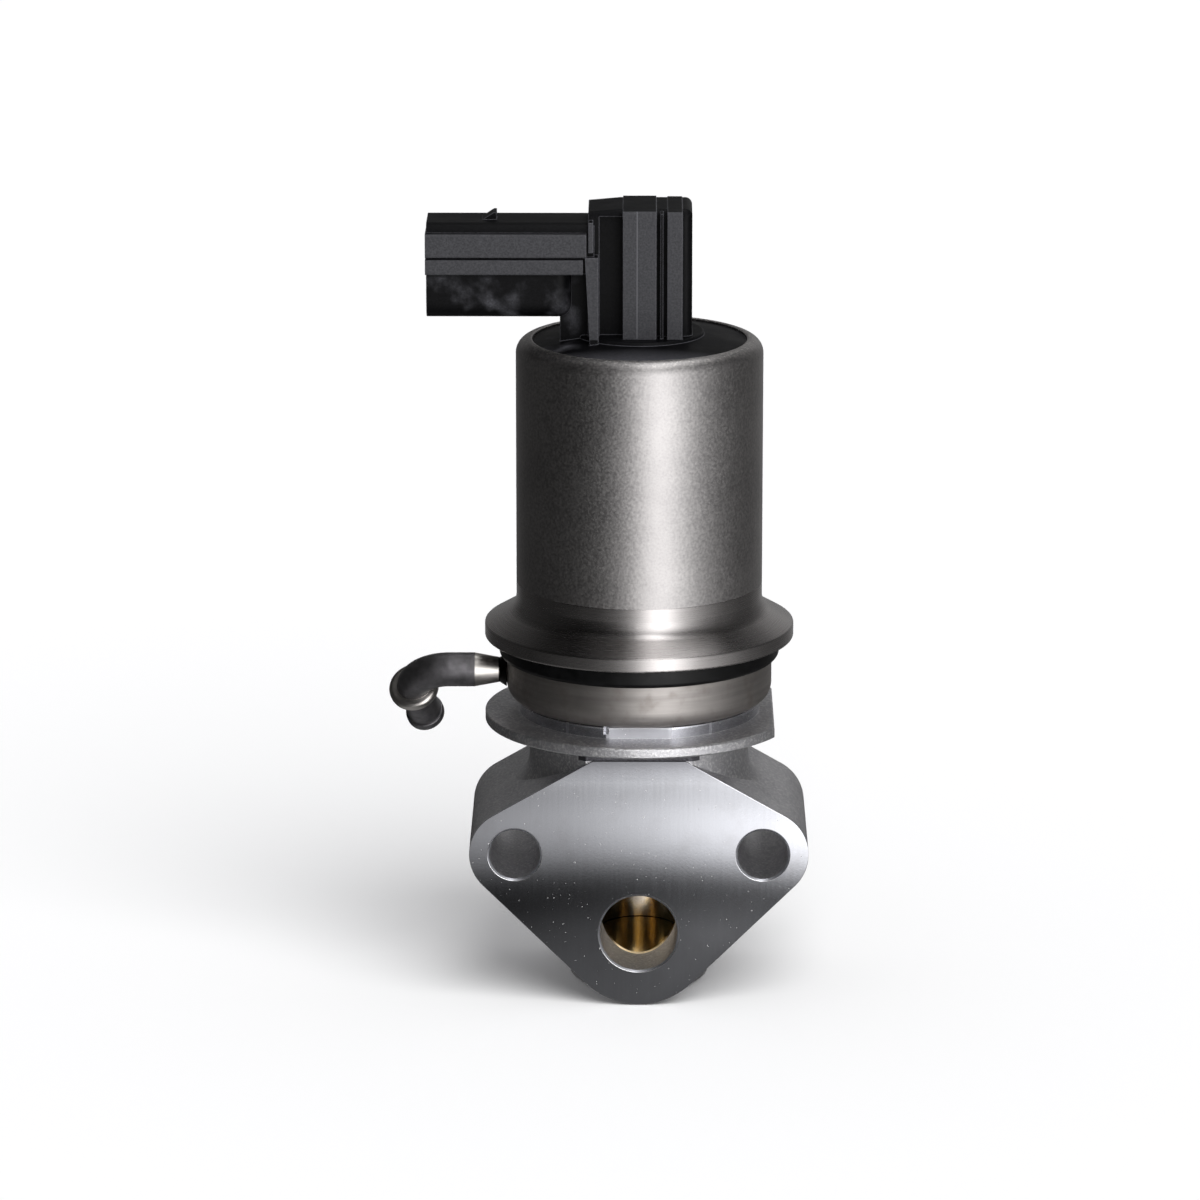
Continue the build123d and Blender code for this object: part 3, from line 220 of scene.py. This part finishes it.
# Drawn stainless cup: warm grey, dull, with faint level streaks left by the die
def drawn_stainless():
    m, where = start("drawn stainless steel")
    streaks = turned_lines(m, where, 0.9, 4.0, 1.5)
    sparkle = add(m, "ShaderNodeTexNoise", Vector=where, Scale=grain(0.3), Detail=2.0)
    cloud = add(m, "ShaderNodeTexNoise", Vector=where, Scale=grain(3.0), Detail=4.0)
    tone = add(m, "ShaderNodeMapRange", Value=streaks, **NOISE_RANGE)
    steel = add(m, "ShaderNodeMix", MIX_COLOURS, Factor=tone, A=linear("#a39e9b"), B=linear("#bab5b2"))
    tint = add(m, "ShaderNodeMapRange", Value=cloud, From_Min=0.5, From_Max=0.75, To_Max=0.5)
    colour = add(m, "ShaderNodeMix", MIX_COLOURS, Factor=tint, A=steel, B=linear("#90867f"))
    rough = add(m, "ShaderNodeMapRange", Value=cloud, **NOISE_RANGE, To_Min=0.44, To_Max=0.54)
    both = add(m, "ShaderNodeMath", {"operation": "ADD"}, i0=streaks, i1=sparkle)
    normal = add(m, "ShaderNodeBump", Height=both, Distance=0.012 * MM, Strength=0.6)
    shader = add(m, "ShaderNodeBsdfPrincipled", Base_Color=colour, Metallic=1.0, Roughness=rough,
                 Anisotropic=0.25, Anisotropic_Rotation=ACROSS_THE_LINES,
                 Tangent=round_the_axis(m, where), Normal=normal)
    return finished(m, shader)


# Die-cast aluminium housing: pale, dull and grainy as cast. Its mating face and spigot are cut bright and
# smooth, with faint upright tool streaks, a soft cloud of stain and a few white specks. The chamfers are
# duller and the spigot's front flat is raw. Shade is painted dark grey on the face under the disc and in the
# corner above the face.
def die_cast_aluminium():
    m, where = start("die-cast aluminium")
    position = add(m, "ShaderNodeSeparateXYZ", Vector=where)
    grit = add(m, "ShaderNodeTexNoise", Vector=where, Scale=grain(0.5), Detail=3.0, Roughness=0.6)
    cloud = add(m, "ShaderNodeTexNoise", Vector=where, Scale=grain(5.0), Detail=4.0)
    tone = add(m, "ShaderNodeMapRange", Value=cloud, **NOISE_RANGE)
    skin = add(m, "ShaderNodeMix", MIX_COLOURS, Factor=tone, A=linear("#c6c5c9"), B=linear("#d8d7da"))
    grey = add(m, "ShaderNodeMapRange", Value=grit, From_Min=0.48, From_Max=0.64)
    cast = add(m, "ShaderNodeMix", MIX_COLOURS, Factor=grey, A=skin, B=linear("#f0eff0"))

    drawn = add(m, "ShaderNodeVectorMath", {"operation": "MULTIPLY"}, i0=where, i1=(1.0, 1.0, 0.05))
    streaks = add(m, "ShaderNodeTexNoise", Vector=drawn, Scale=grain(0.5), Detail=3.0)
    dots = add(m, "ShaderNodeTexNoise", Vector=where, Scale=grain(0.55), Detail=2.0)
    streak = add(m, "ShaderNodeMapRange", Value=streaks, From_Min=0.35, From_Max=0.65)
    bright = add(m, "ShaderNodeMix", MIX_COLOURS, Factor=streak, A=linear("#d8d9df"), B=linear("#dbdce2"))
    patch = add(m, "ShaderNodeMapRange", Value=cloud, From_Min=0.5, From_Max=0.75, To_Max=0.35)
    stained = add(m, "ShaderNodeMix", MIX_COLOURS, Factor=patch, A=bright, B=linear("#c4c3c7"))
    speck = add(m, "ShaderNodeMapRange", Value=dots, From_Min=0.705, From_Max=0.725)
    cut = add(m, "ShaderNodeMix", MIX_COLOURS, Factor=speck, A=stained, B=linear("#ffffff"))

    in_front = add(m, "ShaderNodeMath", {"operation": "LESS_THAN"}, i0=position.outputs["Y"],
                   i1=CUT_FRONT_Y)
    in_face = add(m, "ShaderNodeMath", {"operation": "LESS_THAN"}, i0=position.outputs["Z"], i1=CUT_TOP_Z)
    face = add(m, "ShaderNodeMath", {"operation": "MULTIPLY"}, i0=in_front, i1=in_face)
    spigot = add(m, "ShaderNodeMath", {"operation": "GREATER_THAN"}, i0=position.outputs["Z"],
                 i1=SPIGOT_FOOT_Z)
    machined = add(m, "ShaderNodeMath", {"operation": "MAXIMUM"}, i0=face, i1=spigot)
    in_flat = add(m, "ShaderNodeMath", {"operation": "COMPARE"}, i0=position.outputs["X"], i1=0.0,
                  i2=SPIGOT_FLAT_HALF)
    on_front = add(m, "ShaderNodeMath", {"operation": "LESS_THAN"}, i0=position.outputs["Y"], i1=AXIS_Y)
    front_flat = add(m, "ShaderNodeMath", {"operation": "MULTIPLY"}, i0=in_flat, i1=on_front)
    raw_flat = add(m, "ShaderNodeMath", {"operation": "MULTIPLY"}, i0=front_flat, i1=spigot)
    shine = add(m, "ShaderNodeMapRange", Value=raw_flat, To_Min=1.0, To_Max=0.3)
    plain = add(m, "ShaderNodeMix", MIX_COLOURS, Factor=machined, A=cast, B=cut)

    # Painted shade: the face darkens towards the disc above it, and the corner between them is painted dark
    # grey
    under_disc = add(m, "ShaderNodeMapRange", Value=position.outputs["Z"], From_Min=PAINTED_SHADE_FOOT_Z,
                     From_Max=CUT_TOP_Z, To_Max=0.8)
    in_corner = add(m, "ShaderNodeMath", {"operation": "COMPARE"}, i0=position.outputs["Z"], i1=CORNER_Z,
                    i2=CORNER_HALF)
    near_face = add(m, "ShaderNodeMath", {"operation": "LESS_THAN"}, i0=position.outputs["Y"],
                    i1=CORNER_BACK_Y)
    corner = add(m, "ShaderNodeMath", {"operation": "MULTIPLY"}, i0=in_corner, i1=near_face)
    shade = add(m, "ShaderNodeMath", {"operation": "MULTIPLY"}, i0=under_disc, i1=face)
    painted_shade = add(m, "ShaderNodeMath", {"operation": "MAXIMUM"}, i0=corner, i1=shade)
    bent, edge = worn_edges(m, 0.15)
    rubbed = add(m, "ShaderNodeMath", {"operation": "SUBTRACT", "use_clamp": True}, i0=edge, i1=corner)
    worn = add(m, "ShaderNodeMix", MIX_COLOURS, Factor=rubbed, A=plain, B=linear("#fbfbfc"))
    # Dark grey of the painted shade
    colour = add(m, "ShaderNodeMix", MIX_COLOURS, Factor=painted_shade, A=worn, B=linear("#5c5b60"))

    cast_rough = add(m, "ShaderNodeMapRange", Value=grit, From_Min=0.35, From_Max=0.7, To_Min=0.42,
                     To_Max=0.52)
    cut_rough = add(m, "ShaderNodeMapRange", Value=streaks, **NOISE_RANGE, To_Min=0.085, To_Max=0.10)
    speck_rough = add(m, "ShaderNodeMix", Factor=speck, A=cut_rough, B=0.7)
    in_chamfer = add(m, "ShaderNodeMath", {"operation": "COMPARE"}, i0=position.outputs["Y"],
                     i1=CHAMFER_Y, i2=CHAMFER_HALF)
    cut_or_chamfer = add(m, "ShaderNodeMix", Factor=in_chamfer, A=speck_rough, B=0.4)
    rough = add(m, "ShaderNodeMix", Factor=machined, A=cast_rough, B=cut_or_chamfer)
    depth = add(m, "ShaderNodeMix", Factor=machined, A=0.9, B=0.02)
    lumps = add(m, "ShaderNodeMath", {"operation": "ADD"}, i0=grit, i1=cloud)
    normal = add(m, "ShaderNodeBump", Height=lumps, Distance=0.11 * MM, Strength=depth, Normal=bent)
    shader = add(m, "ShaderNodeBsdfPrincipled", Base_Color=colour, Metallic=shine, Roughness=rough,
                 Normal=normal)
    return finished(m, shader)


# Cold-bent steel tube: dull dark grey with faint mottling, burnished bright on the swaged neck and on the
# rolled bead where the dies pressed it, scorched black where it is brazed into the cup
def bent_tube_steel():
    m, where = start("dark bent tube steel")
    position = add(m, "ShaderNodeSeparateXYZ", Vector=where)
    cloud = add(m, "ShaderNodeTexNoise", Vector=where, Scale=grain(1.6), Detail=4.0)
    stretched = add(m, "ShaderNodeVectorMath", {"operation": "MULTIPLY"}, i0=where, i1=(0.25, 1.0, 1.0))
    scratch = add(m, "ShaderNodeTexNoise", Vector=stretched, Scale=grain(0.5), Detail=3.0)
    tone = add(m, "ShaderNodeMapRange", Value=cloud, **NOISE_RANGE)
    steel = add(m, "ShaderNodeMix", MIX_COLOURS, Factor=tone, A=linear("#747275"), B=linear("#8f8d90"))
    neck = add(m, "ShaderNodeMapRange", Value=position.outputs["X"], From_Min=NECK_X,
               From_Max=NECK_X + NECK_FADE)
    along = add(m, "ShaderNodeVectorMath", {"operation": "DOT_PRODUCT"}, i0=where, i1=NOZZLE_DIRECTION)
    bead = add(m, "ShaderNodeMath", {"operation": "COMPARE"}, i0=along, i1=BEAD_ALONG, i2=BEAD_HALF)
    burnished = add(m, "ShaderNodeMath", {"operation": "MAXIMUM"}, i0=neck, i1=bead)
    metal = add(m, "ShaderNodeMix", MIX_COLOURS, Factor=burnished, A=steel, B=linear("#d3cfca"))
    braze = add(m, "ShaderNodeMapRange", Value=position.outputs["X"], From_Min=TUBE_BRAZE_X,
                From_Max=TUBE_BRAZE_X + BRAZE_FADE)
    colour = add(m, "ShaderNodeMix", MIX_COLOURS, Factor=braze, A=metal, B=linear("#262322"))
    dull = add(m, "ShaderNodeMapRange", Value=scratch, **NOISE_RANGE, To_Min=0.44, To_Max=0.54)
    rough = add(m, "ShaderNodeMix", Factor=burnished, A=dull, B=0.33)
    both = add(m, "ShaderNodeMath", {"operation": "ADD"}, i0=scratch, i1=cloud)
    normal = add(m, "ShaderNodeBump", Height=both, Distance=0.02 * MM, Strength=0.5)
    shader = add(m, "ShaderNodeBsdfPrincipled", Base_Color=colour, Metallic=1.0, Roughness=rough,
                 Normal=normal)
    return finished(m, shader)


# Turned bronze sleeve with upright tool marks: stained dull brown by hot gas above, cleaner and yellower
# below the seam where the flow reaches it less
def scorched_bronze():
    m, where = start("heat-stained bronze")
    height = add(m, "ShaderNodeSeparateXYZ", Vector=where).outputs["Z"]
    stain = add(m, "ShaderNodeTexNoise", Vector=where, Scale=grain(2.5), Detail=4.0)
    marks = turned_lines(m, where, 40.0, 3.0, 22.0)
    tone = add(m, "ShaderNodeMapRange", Value=stain, **NOISE_RANGE)
    clean = add(m, "ShaderNodeMix", MIX_COLOURS, Factor=tone, A=linear("#dfcca2"), B=linear("#ebdbb9"))
    brown = add(m, "ShaderNodeMix", MIX_COLOURS, Factor=tone, A=linear("#dacdb8"), B=linear("#e6dccc"))
    above = add(m, "ShaderNodeMath", {"operation": "GREATER_THAN"}, i0=height, i1=SEAM_Z)
    metal = add(m, "ShaderNodeMix", MIX_COLOURS, Factor=above, A=clean, B=brown)
    seam = add(m, "ShaderNodeMath", {"operation": "COMPARE"}, i0=height, i1=SEAM_Z, i2=SEAM_HALF)
    line = add(m, "ShaderNodeMapRange", Value=marks, From_Min=0.45, From_Max=0.7, To_Max=0.25)
    dark = add(m, "ShaderNodeMath", {"operation": "MAXIMUM"}, i0=seam, i1=line)
    colour = add(m, "ShaderNodeMix", MIX_COLOURS, Factor=dark, A=metal, B=linear("#4d3f2a"))
    rough = add(m, "ShaderNodeMapRange", Value=stain, **NOISE_RANGE, To_Min=0.15, To_Max=0.20)
    normal = add(m, "ShaderNodeBump", Height=marks, Distance=0.01 * MM, Strength=0.3)
    shader = add(m, "ShaderNodeBsdfPrincipled", Base_Color=colour, Metallic=1.0, Roughness=rough,
                 Normal=normal)
    return finished(m, shader)


# Moulded black glass-filled nylon: the outer panels painted grey and lighter as painted light, with fibre
# grain, the recesses and all else blacker and duller; dust rubbed into the lower box of the plug socket, and
# grained dust with painted light on the front of the tower's foot
def glass_filled_nylon():
    m, where = start("glass-filled black nylon")
    position = add(m, "ShaderNodeSeparateXYZ", Vector=where)
    fibres = add(m, "ShaderNodeTexNoise", Vector=where, Scale=grain(0.35), Detail=3.0, Roughness=0.65)
    cloud = add(m, "ShaderNodeTexNoise", Vector=where, Scale=grain(5.0), Detail=3.0)
    fibre = add(m, "ShaderNodeMapRange", Value=fibres, From_Min=0.35, From_Max=0.68)
    skin = add(m, "ShaderNodeMix", MIX_COLOURS, Factor=fibre, A=linear("#050506"), B=linear("#0c0c0e"))
    # Painted light: the outer panels, where the light falls, are a lighter grey than the shaded recesses,
    # with the fibre grain in it
    grain_and_painted_light = add(m, "ShaderNodeMix", MIX_COLOURS, Factor=fibre, A=linear("#303033"),
                   B=linear("#414144"))
    in_front = add(m, "ShaderNodeMath", {"operation": "LESS_THAN"}, i0=position.outputs["Y"], i1=PANEL_Y)
    above = add(m, "ShaderNodeMath", {"operation": "GREATER_THAN"}, i0=position.outputs["Z"],
                i1=PANEL_FOOT_Z)
    outer = add(m, "ShaderNodeMath", {"operation": "MULTIPLY"}, i0=in_front, i1=above)
    nylon = add(m, "ShaderNodeMix", MIX_COLOURS, Factor=outer, A=skin, B=grain_and_painted_light)

    patch = add(m, "ShaderNodeMapRange", {"interpolation_type": "SMOOTHSTEP"}, Value=cloud, From_Min=0.45,
                From_Max=0.78)
    grains = add(m, "ShaderNodeMapRange", Value=fibres, From_Min=0.4, From_Max=0.7, To_Min=0.35,
                 To_Max=0.6)
    smudge = add(m, "ShaderNodeMath", {"operation": "MULTIPLY"}, i0=patch, i1=grains)
    left = add(m, "ShaderNodeMapRange", Value=position.outputs["X"], From_Min=SOCKET_DUST_X,
               From_Max=SOCKET_DUST_FULL_X)
    low = add(m, "ShaderNodeMapRange", Value=position.outputs["Z"], From_Min=LOWER_BOX_Z,
              From_Max=LOWER_BOX_Z - LOWER_BOX_FADE)
    box = add(m, "ShaderNodeMath", {"operation": "MULTIPLY"}, i0=left, i1=low)
    on_socket = add(m, "ShaderNodeMapRange", Value=box, To_Min=0.03, To_Max=0.85)
    rubbed_in = add(m, "ShaderNodeMath", {"operation": "MULTIPLY"}, i0=smudge, i1=on_socket)
    # Dust and painted light: the foot's slope is lighter and grained towards the front only
    in_ring = add(m, "ShaderNodeMapRange", Value=position.outputs["Y"], From_Min=FOOT_DUST_AND_LIGHT_Y,
                  From_Max=FOOT_DUST_AND_LIGHT_FULL_Y, To_Max=0.75)
    at_foot = add(m, "ShaderNodeMath", {"operation": "SUBTRACT"}, i0=1.0, i1=above)
    foot_ring = add(m, "ShaderNodeMath", {"operation": "MULTIPLY"}, i0=in_ring, i1=at_foot)
    settled_dust_and_painted_light = add(m, "ShaderNodeMath", {"operation": "MULTIPLY"}, i0=foot_ring, i1=grains)
    # Dust on the socket, and dust with painted light at the front of the tower's foot
    dust = add(m, "ShaderNodeMath", {"operation": "MAXIMUM"}, i0=rubbed_in, i1=settled_dust_and_painted_light)
    dusty_and_lit = add(m, "ShaderNodeMix", MIX_COLOURS, Factor=dust, A=nylon, B=linear("#6a6a70"))

    from_line = add(m, "ShaderNodeMath", {"operation": "COMPARE"}, i0=position.outputs["X"],
                    i1=MOULD_LINE_X, i2=MOULD_LINE_HALF)
    line = add(m, "ShaderNodeMath", {"operation": "MULTIPLY"}, i0=from_line, i1=outer)
    lined = add(m, "ShaderNodeMix", MIX_COLOURS, Factor=line, A=dusty_and_lit, B=linear("#5a5a5e"))
    bent, edge = worn_edges(m, 0.22)
    rubbed = add(m, "ShaderNodeMath", {"operation": "MULTIPLY"}, i0=edge, i1=grains)
    colour = add(m, "ShaderNodeMix", MIX_COLOURS, Factor=rubbed, A=lined, B=linear("#74747a"))
    rough = add(m, "ShaderNodeMapRange", Value=cloud, **NOISE_RANGE, To_Min=0.40, To_Max=0.52)
    normal = add(m, "ShaderNodeBump", Height=fibres, Distance=0.035 * MM, Strength=0.6, Normal=bent)
    gloss = add(m, "ShaderNodeMapRange", Value=outer, To_Min=0.08, To_Max=0.18)
    shader = add(m, "ShaderNodeBsdfPrincipled", Base_Color=colour, Roughness=rough, IOR=1.55,
                 Specular_IOR_Level=gloss, Normal=normal)
    return finished(m, shader)


# Moulded black rubber: almost matt, with a faint grey bloom
def moulded_rubber():
    m, where = start("moulded black rubber")
    bloom = add(m, "ShaderNodeTexNoise", Vector=where, Scale=grain(1.6), Detail=4.0)
    grit = add(m, "ShaderNodeTexNoise", Vector=where, Scale=grain(0.4), Detail=3.0)
    tone = add(m, "ShaderNodeMapRange", Value=bloom, From_Min=0.45, From_Max=0.75)
    colour = add(m, "ShaderNodeMix", MIX_COLOURS, Factor=tone, A=linear("#040405"), B=linear("#0c0c0e"))
    rough = add(m, "ShaderNodeMapRange", Value=bloom, **NOISE_RANGE, To_Min=0.34, To_Max=0.46)
    normal = add(m, "ShaderNodeBump", Height=grit, Distance=0.02 * MM, Strength=0.5)
    shader = add(m, "ShaderNodeBsdfPrincipled", Base_Color=colour, Roughness=rough,
                 Specular_IOR_Level=0.25, Normal=normal)
    return finished(m, shader)


def bare_metal(name, dark, light, roughness):
    """Plated, ground or drawn metal of a hidden piece: a faint cloud of stain and a fine grain."""
    m, where = start(name)
    cloud = add(m, "ShaderNodeTexNoise", Vector=where, Scale=grain(4.0), Detail=3.0)
    scratch = add(m, "ShaderNodeTexNoise", Vector=where, Scale=grain(0.3), Detail=2.0)
    tone = add(m, "ShaderNodeMapRange", Value=cloud, **NOISE_RANGE)
    colour = add(m, "ShaderNodeMix", MIX_COLOURS, Factor=tone, A=linear(dark), B=linear(light))
    rough = add(m, "ShaderNodeMapRange", Value=cloud, **NOISE_RANGE, To_Min=roughness - 0.05,
                To_Max=roughness + 0.05)
    normal = add(m, "ShaderNodeBump", Height=scratch, Distance=0.01 * MM, Strength=0.4)
    shader = add(m, "ShaderNodeBsdfPrincipled", Base_Color=colour, Metallic=1.0, Roughness=rough,
                 Normal=normal)
    return finished(m, shader)


def pale_moulding(name, dark, light, roughness):
    """Moulded or fired piece inside the valve, with a fine matt grain."""
    m, where = start(name)
    cloud = add(m, "ShaderNodeTexNoise", Vector=where, Scale=grain(3.0), Detail=3.0)
    grit = add(m, "ShaderNodeTexNoise", Vector=where, Scale=grain(0.3), Detail=2.0)
    tone = add(m, "ShaderNodeMapRange", Value=cloud, **NOISE_RANGE)
    colour = add(m, "ShaderNodeMix", MIX_COLOURS, Factor=tone, A=linear(dark), B=linear(light))
    rough = add(m, "ShaderNodeMapRange", Value=grit, **NOISE_RANGE, To_Min=roughness - 0.04,
                To_Max=roughness + 0.04)
    normal = add(m, "ShaderNodeBump", Height=grit, Distance=0.02 * MM, Strength=0.5)
    shader = add(m, "ShaderNodeBsdfPrincipled", Base_Color=colour, Roughness=rough, Normal=normal)
    return finished(m, shader)


MATERIALS = {
    "cast_aluminium": die_cast_aluminium(),
    "bronze": scorched_bronze(),
    "tool_steel": bare_metal("ground tool steel", "#808083", "#929296", 0.25),
    "stainless": drawn_stainless(),
    "tube_steel": bent_tube_steel(),
    "turned_steel": turned_steel(),
    "can_steel": satin_can_steel(),
    "zinc_steel": bare_metal("zinc plated steel", "#a6a8ad", "#bbbdc2", 0.32),
    "spring_steel": bare_metal("drawn spring wire", "#76767d", "#8a8a92", 0.28),
    "black_rubber": moulded_rubber(),
    "copper_wire": bare_metal("enamelled copper wire", "#9a5830", "#b87242", 0.35),
    "bobbin_plastic": pale_moulding("natural nylon", "#c0b99f", "#d0c9b2", 0.45),
    "cover_plastic": glass_filled_nylon(),
    "ceramic": pale_moulding("fired ceramic", "#d6d3ca", "#e6e3db", 0.45),
    "pin_metal": bare_metal("tin plated brass", "#b4b1a6", "#cac7bc", 0.28),
}
for entry in frame["record"]["subparts"]:
    slots = frame["nodes"][entry["node"]].data.materials
    slots.clear()
    slots.append(MATERIALS[entry["material_slot"]])


# Studio

# Long lens a little above the valve, as in the photograph
CAMERA_LENS = 184.8
CAMERA_FRAME = 36.0
CAMERA_PLACE = (0.0, -1.0454, 0.318)
CAMERA_PITCH = 75.45
CAMERA_TURN = 0.3767

# The tent's light is in tables of pairs: a place, then the light there or the share of a light that reaches
# it. Bearings are degrees right of the camera. Other places are millimetres: reach from the middle, height
# above the floor, or distance to the right.
# Wall and far floor by bearing: a tall softbox front right, a dark flag left, weak light right and behind
WALL_LIGHT = [(-180, 0.04), (-172, 0.06), (-160, 0.05), (-150, 0.03), (-140, 0.016), (-105, 0.010),
              (-60, 0.004), (-35, 0.008), (-21, 0.030), (-15, 0.065), (-9, 0.13), (-3, 0.26), (3, 0.49),
              (9, 0.80), (15, 1.00), (20, 1.0), (26, 0.96), (33, 0.70), (39, 0.44), (46, 0.29), (52, 0.19),
              (59, 0.125), (66, 0.085), (80, 0.045), (105, 0.022), (125, 0.025), (145, 0.050), (160, 0.080),
              (172, 0.080), (180, 0.07)]
WALL_BY_HEIGHT = [(250, 1.0), (520, 0.7), (700, 0.15)]
# Pale panel behind on the right, between two heights
BACK_PANEL = [(-180, 0.04), (-165, 0.0), (130, 0.0), (160, 0.12), (180, 0.05)]
BACK_PANEL_FOOT = 60
BACK_PANEL_TOP = 450
# Near floor, lit at the front right
FLOOR_LIGHT = [(-180, 0.0), (-90, 0.01), (-40, 0.05), (-20, 0.10), (-7, 0.17), (0, 0.27), (7, 0.40),
               (20, 0.60), (40, 0.35), (90, 0.05), (180, 0.0)]
FLOOR_BY_REACH = [(0, 0.0), (30, 0.03), (45, 0.065), (60, 0.06), (66, 0.05), (72, 0.05), (77, 0.08),
                  (82, 0.18), (87, 0.36), (92, 0.55), (98, 0.73), (106, 0.88), (116, 0.95), (121, 0.92),
                  (126, 0.82), (131, 0.68), (138, 0.62), (170, 1.7)]
# Faint light of the floor under the valve, and a ring of it from each side round to the back
UNDER_LIGHT = [(0, 0.032), (30, 0.022), (60, 0.0)]
RING_LIGHT = [(26, 0.0), (42, 0.07), (130, 0.08), (180, 0.05)]
RING_BY_REACH = [(22, 0.0), (40, 1.0), (80, 1.0), (105, 0.0)]
# Where the near floor gives way to the far floor, and the wall to the roof
FAR_FLOOR = [(175, 0.0), (235, 1.0)]
ROOF = [(680, 0.0), (780, 1.0)]
# Strip light across the roof, on a dim ceiling
STRIP_LIGHT = 1.20
STRIP_X = 118
STRIP_WIDTH = 95
CEILING_LIGHT = [(-400, 0.005), (0, 0.03), (300, 0.08)]

# Profile that the tent is turned from: radii on the floor, then radius and height up the wall and roof
TENT_FLOOR = [0, 20, 30, 45, 60, 65, 70, 75, 80, 85, 90, 97, 106, 116, 121, 126, 131, 138, 146, 155, 170,
              190, 205, 220, 235, 260, 300, 400, 500, 580]
TENT_WALL = [(615, 8), (620, 50), (620, 150), (620, 300), (620, 400), (600, 500), (540, 600), (460, 680),
             (380, 740), (320, 775), (260, 805), (210, 825), (170, 840), (130, 855), (95, 865), (60, 875),
             (30, 880), (0, 885)]
TENT_STEP = 3
TENT_LIFT = 0.1 * MM
TENT_STRENGTH = 3.2

FLOOR_HALF = 6.0
WORLD_STRENGTH = 0.5


def set_up_camera():
    """Camera of the photograph: its angles are from straight down and to the left, in degrees."""
    data = bpy.data.cameras.new("camera")
    data.lens = CAMERA_LENS
    data.sensor_width = CAMERA_FRAME
    data.clip_end = 20.0
    camera = bpy.data.objects.new("camera", data)
    camera.location = CAMERA_PLACE
    camera.rotation_euler = (math.radians(CAMERA_PITCH), 0.0, math.radians(CAMERA_TURN))
    bpy.context.scene.collection.objects.link(camera)
    bpy.context.scene.camera = camera


def put_grid(name, points, material, closed=False):
    """Surface of quads over a grid of points, its rows joined into a ring where closed, at the origin."""
    rows, columns = points.shape[:2]
    u = np.arange(rows if closed else rows - 1)[:, None]
    v = np.arange(columns - 1)[None, :]
    after = (u + 1) % rows
    near = u * columns + v
    far = after * columns + v
    quads = np.stack([near, far, far + 1, near + 1], -1)
    mesh = bpy.data.meshes.new(name)
    mesh.from_pydata(points.reshape(-1, 3).tolist(), [], quads.reshape(-1, 4).tolist())
    mesh.materials.append(material)
    mesh.update()
    piece = bpy.data.objects.new(name, mesh)
    bpy.context.scene.collection.objects.link(piece)
    return piece


def set_up_floor():
    """Plain pale floor that the valve's port boss stands on."""
    m, _ = start("pale floor")
    side = np.linspace(-FLOOR_HALF, FLOOR_HALF, 2)
    x, y = np.meshgrid(side, side, indexing="ij")
    floor = put_grid("floor", np.stack([x, y, np.full_like(x, FLOOR_Z)], -1),
                     finished(m, add(m, "ShaderNodeBsdfDiffuse", Color=linear("#fbfbfb"))))


def from_table(table, place):
    """Value of a table of pairs at one or more places, straight between its pairs."""
    places, values = zip(*table)
    return np.interp(place, places, values)


def set_up_tent():
    """Closed tent round the valve that only reflections see, one turned profile. Its light is kept at its
    points: by bearing on the wall and far floor, by bearing and reach on the near floor, and a strip across
    the roof."""
    turn = np.radians(np.arange(-180, 180, TENT_STEP))[:, None]
    bearing = np.degrees(turn)
    profile = [(reach, 0) for reach in TENT_FLOOR] + TENT_WALL
    radius, height = (np.array(column)[None, :] * np.ones_like(turn) for column in zip(*profile))
    x = radius * np.sin(turn)

    wall = from_table(WALL_LIGHT, bearing) * from_table(WALL_BY_HEIGHT, height)
    behind = (height > BACK_PANEL_FOOT) * (height < BACK_PANEL_TOP)
    far = np.maximum(wall, from_table(BACK_PANEL, bearing) * behind)
    near = from_table(FLOOR_LIGHT, bearing) * from_table(FLOOR_BY_REACH, radius)
    near += from_table(UNDER_LIGHT, radius)
    near = np.maximum(near, from_table(RING_LIGHT, np.abs(bearing)) * from_table(RING_BY_REACH, radius))
    far_floor = from_table(FAR_FLOOR, radius)
    light = np.where(height > 0, far, near * (1 - far_floor) + far * far_floor)
    strip = STRIP_LIGHT * np.exp(-((x - STRIP_X) / STRIP_WIDTH) ** 2) + from_table(CEILING_LIGHT, x)
    roof = from_table(ROOF, height)
    light = light * (1 - roof) + strip * roof

    points = np.stack([x * MM, -radius * np.cos(turn) * MM, height * MM + FLOOR_Z + TENT_LIFT], -1)
    m, _ = start("studio tent")
    level = add(m, "ShaderNodeAttribute", {"attribute_name": "light"}).outputs["Fac"]
    strength = add(m, "ShaderNodeMath", {"operation": "MULTIPLY"}, i0=level, i1=TENT_STRENGTH)
    glow = add(m, "ShaderNodeEmission", Strength=strength)
    tent = put_grid("tent", points, finished(m, glow), closed=True)
    tent.data.attributes.new("light", "FLOAT", "POINT").data.foreach_set("value", light.ravel())
    for kind in ("camera", "diffuse", "transmission", "shadow", "volume_scatter"):
        setattr(tent, "visible_" + kind, False)


def set_up_sun(name, bearing, lift, spread, strength):
    """Soft far lamp at a bearing right of the camera and an angle above level, in degrees. Reflections don't
    see it."""
    data = bpy.data.lights.new(name, "SUN")
    data.energy = strength
    data.angle = math.radians(spread)
    lamp = bpy.data.objects.new(name, data)
    lamp.rotation_euler = (math.radians(90.0 - lift), 0.0, math.radians(bearing))
    lamp.visible_glossy = False
    bpy.context.scene.collection.objects.link(lamp)


def set_up_world():
    """Even pale surroundings."""
    world = bpy.data.worlds.new("studio")
    world.use_nodes = True
    background = world.node_tree.nodes["Background"]
    background.inputs["Color"].default_value = linear("#f8f8fa")
    background.inputs["Strength"].default_value = WORLD_STRENGTH
    bpy.context.scene.world = world


set_up_camera()
set_up_floor()
set_up_tent()
set_up_sun("key", bearing=25.0, lift=48.0, spread=50.0, strength=2.45)
set_up_world()
bpy.context.scene.view_settings.view_transform = "Standard"
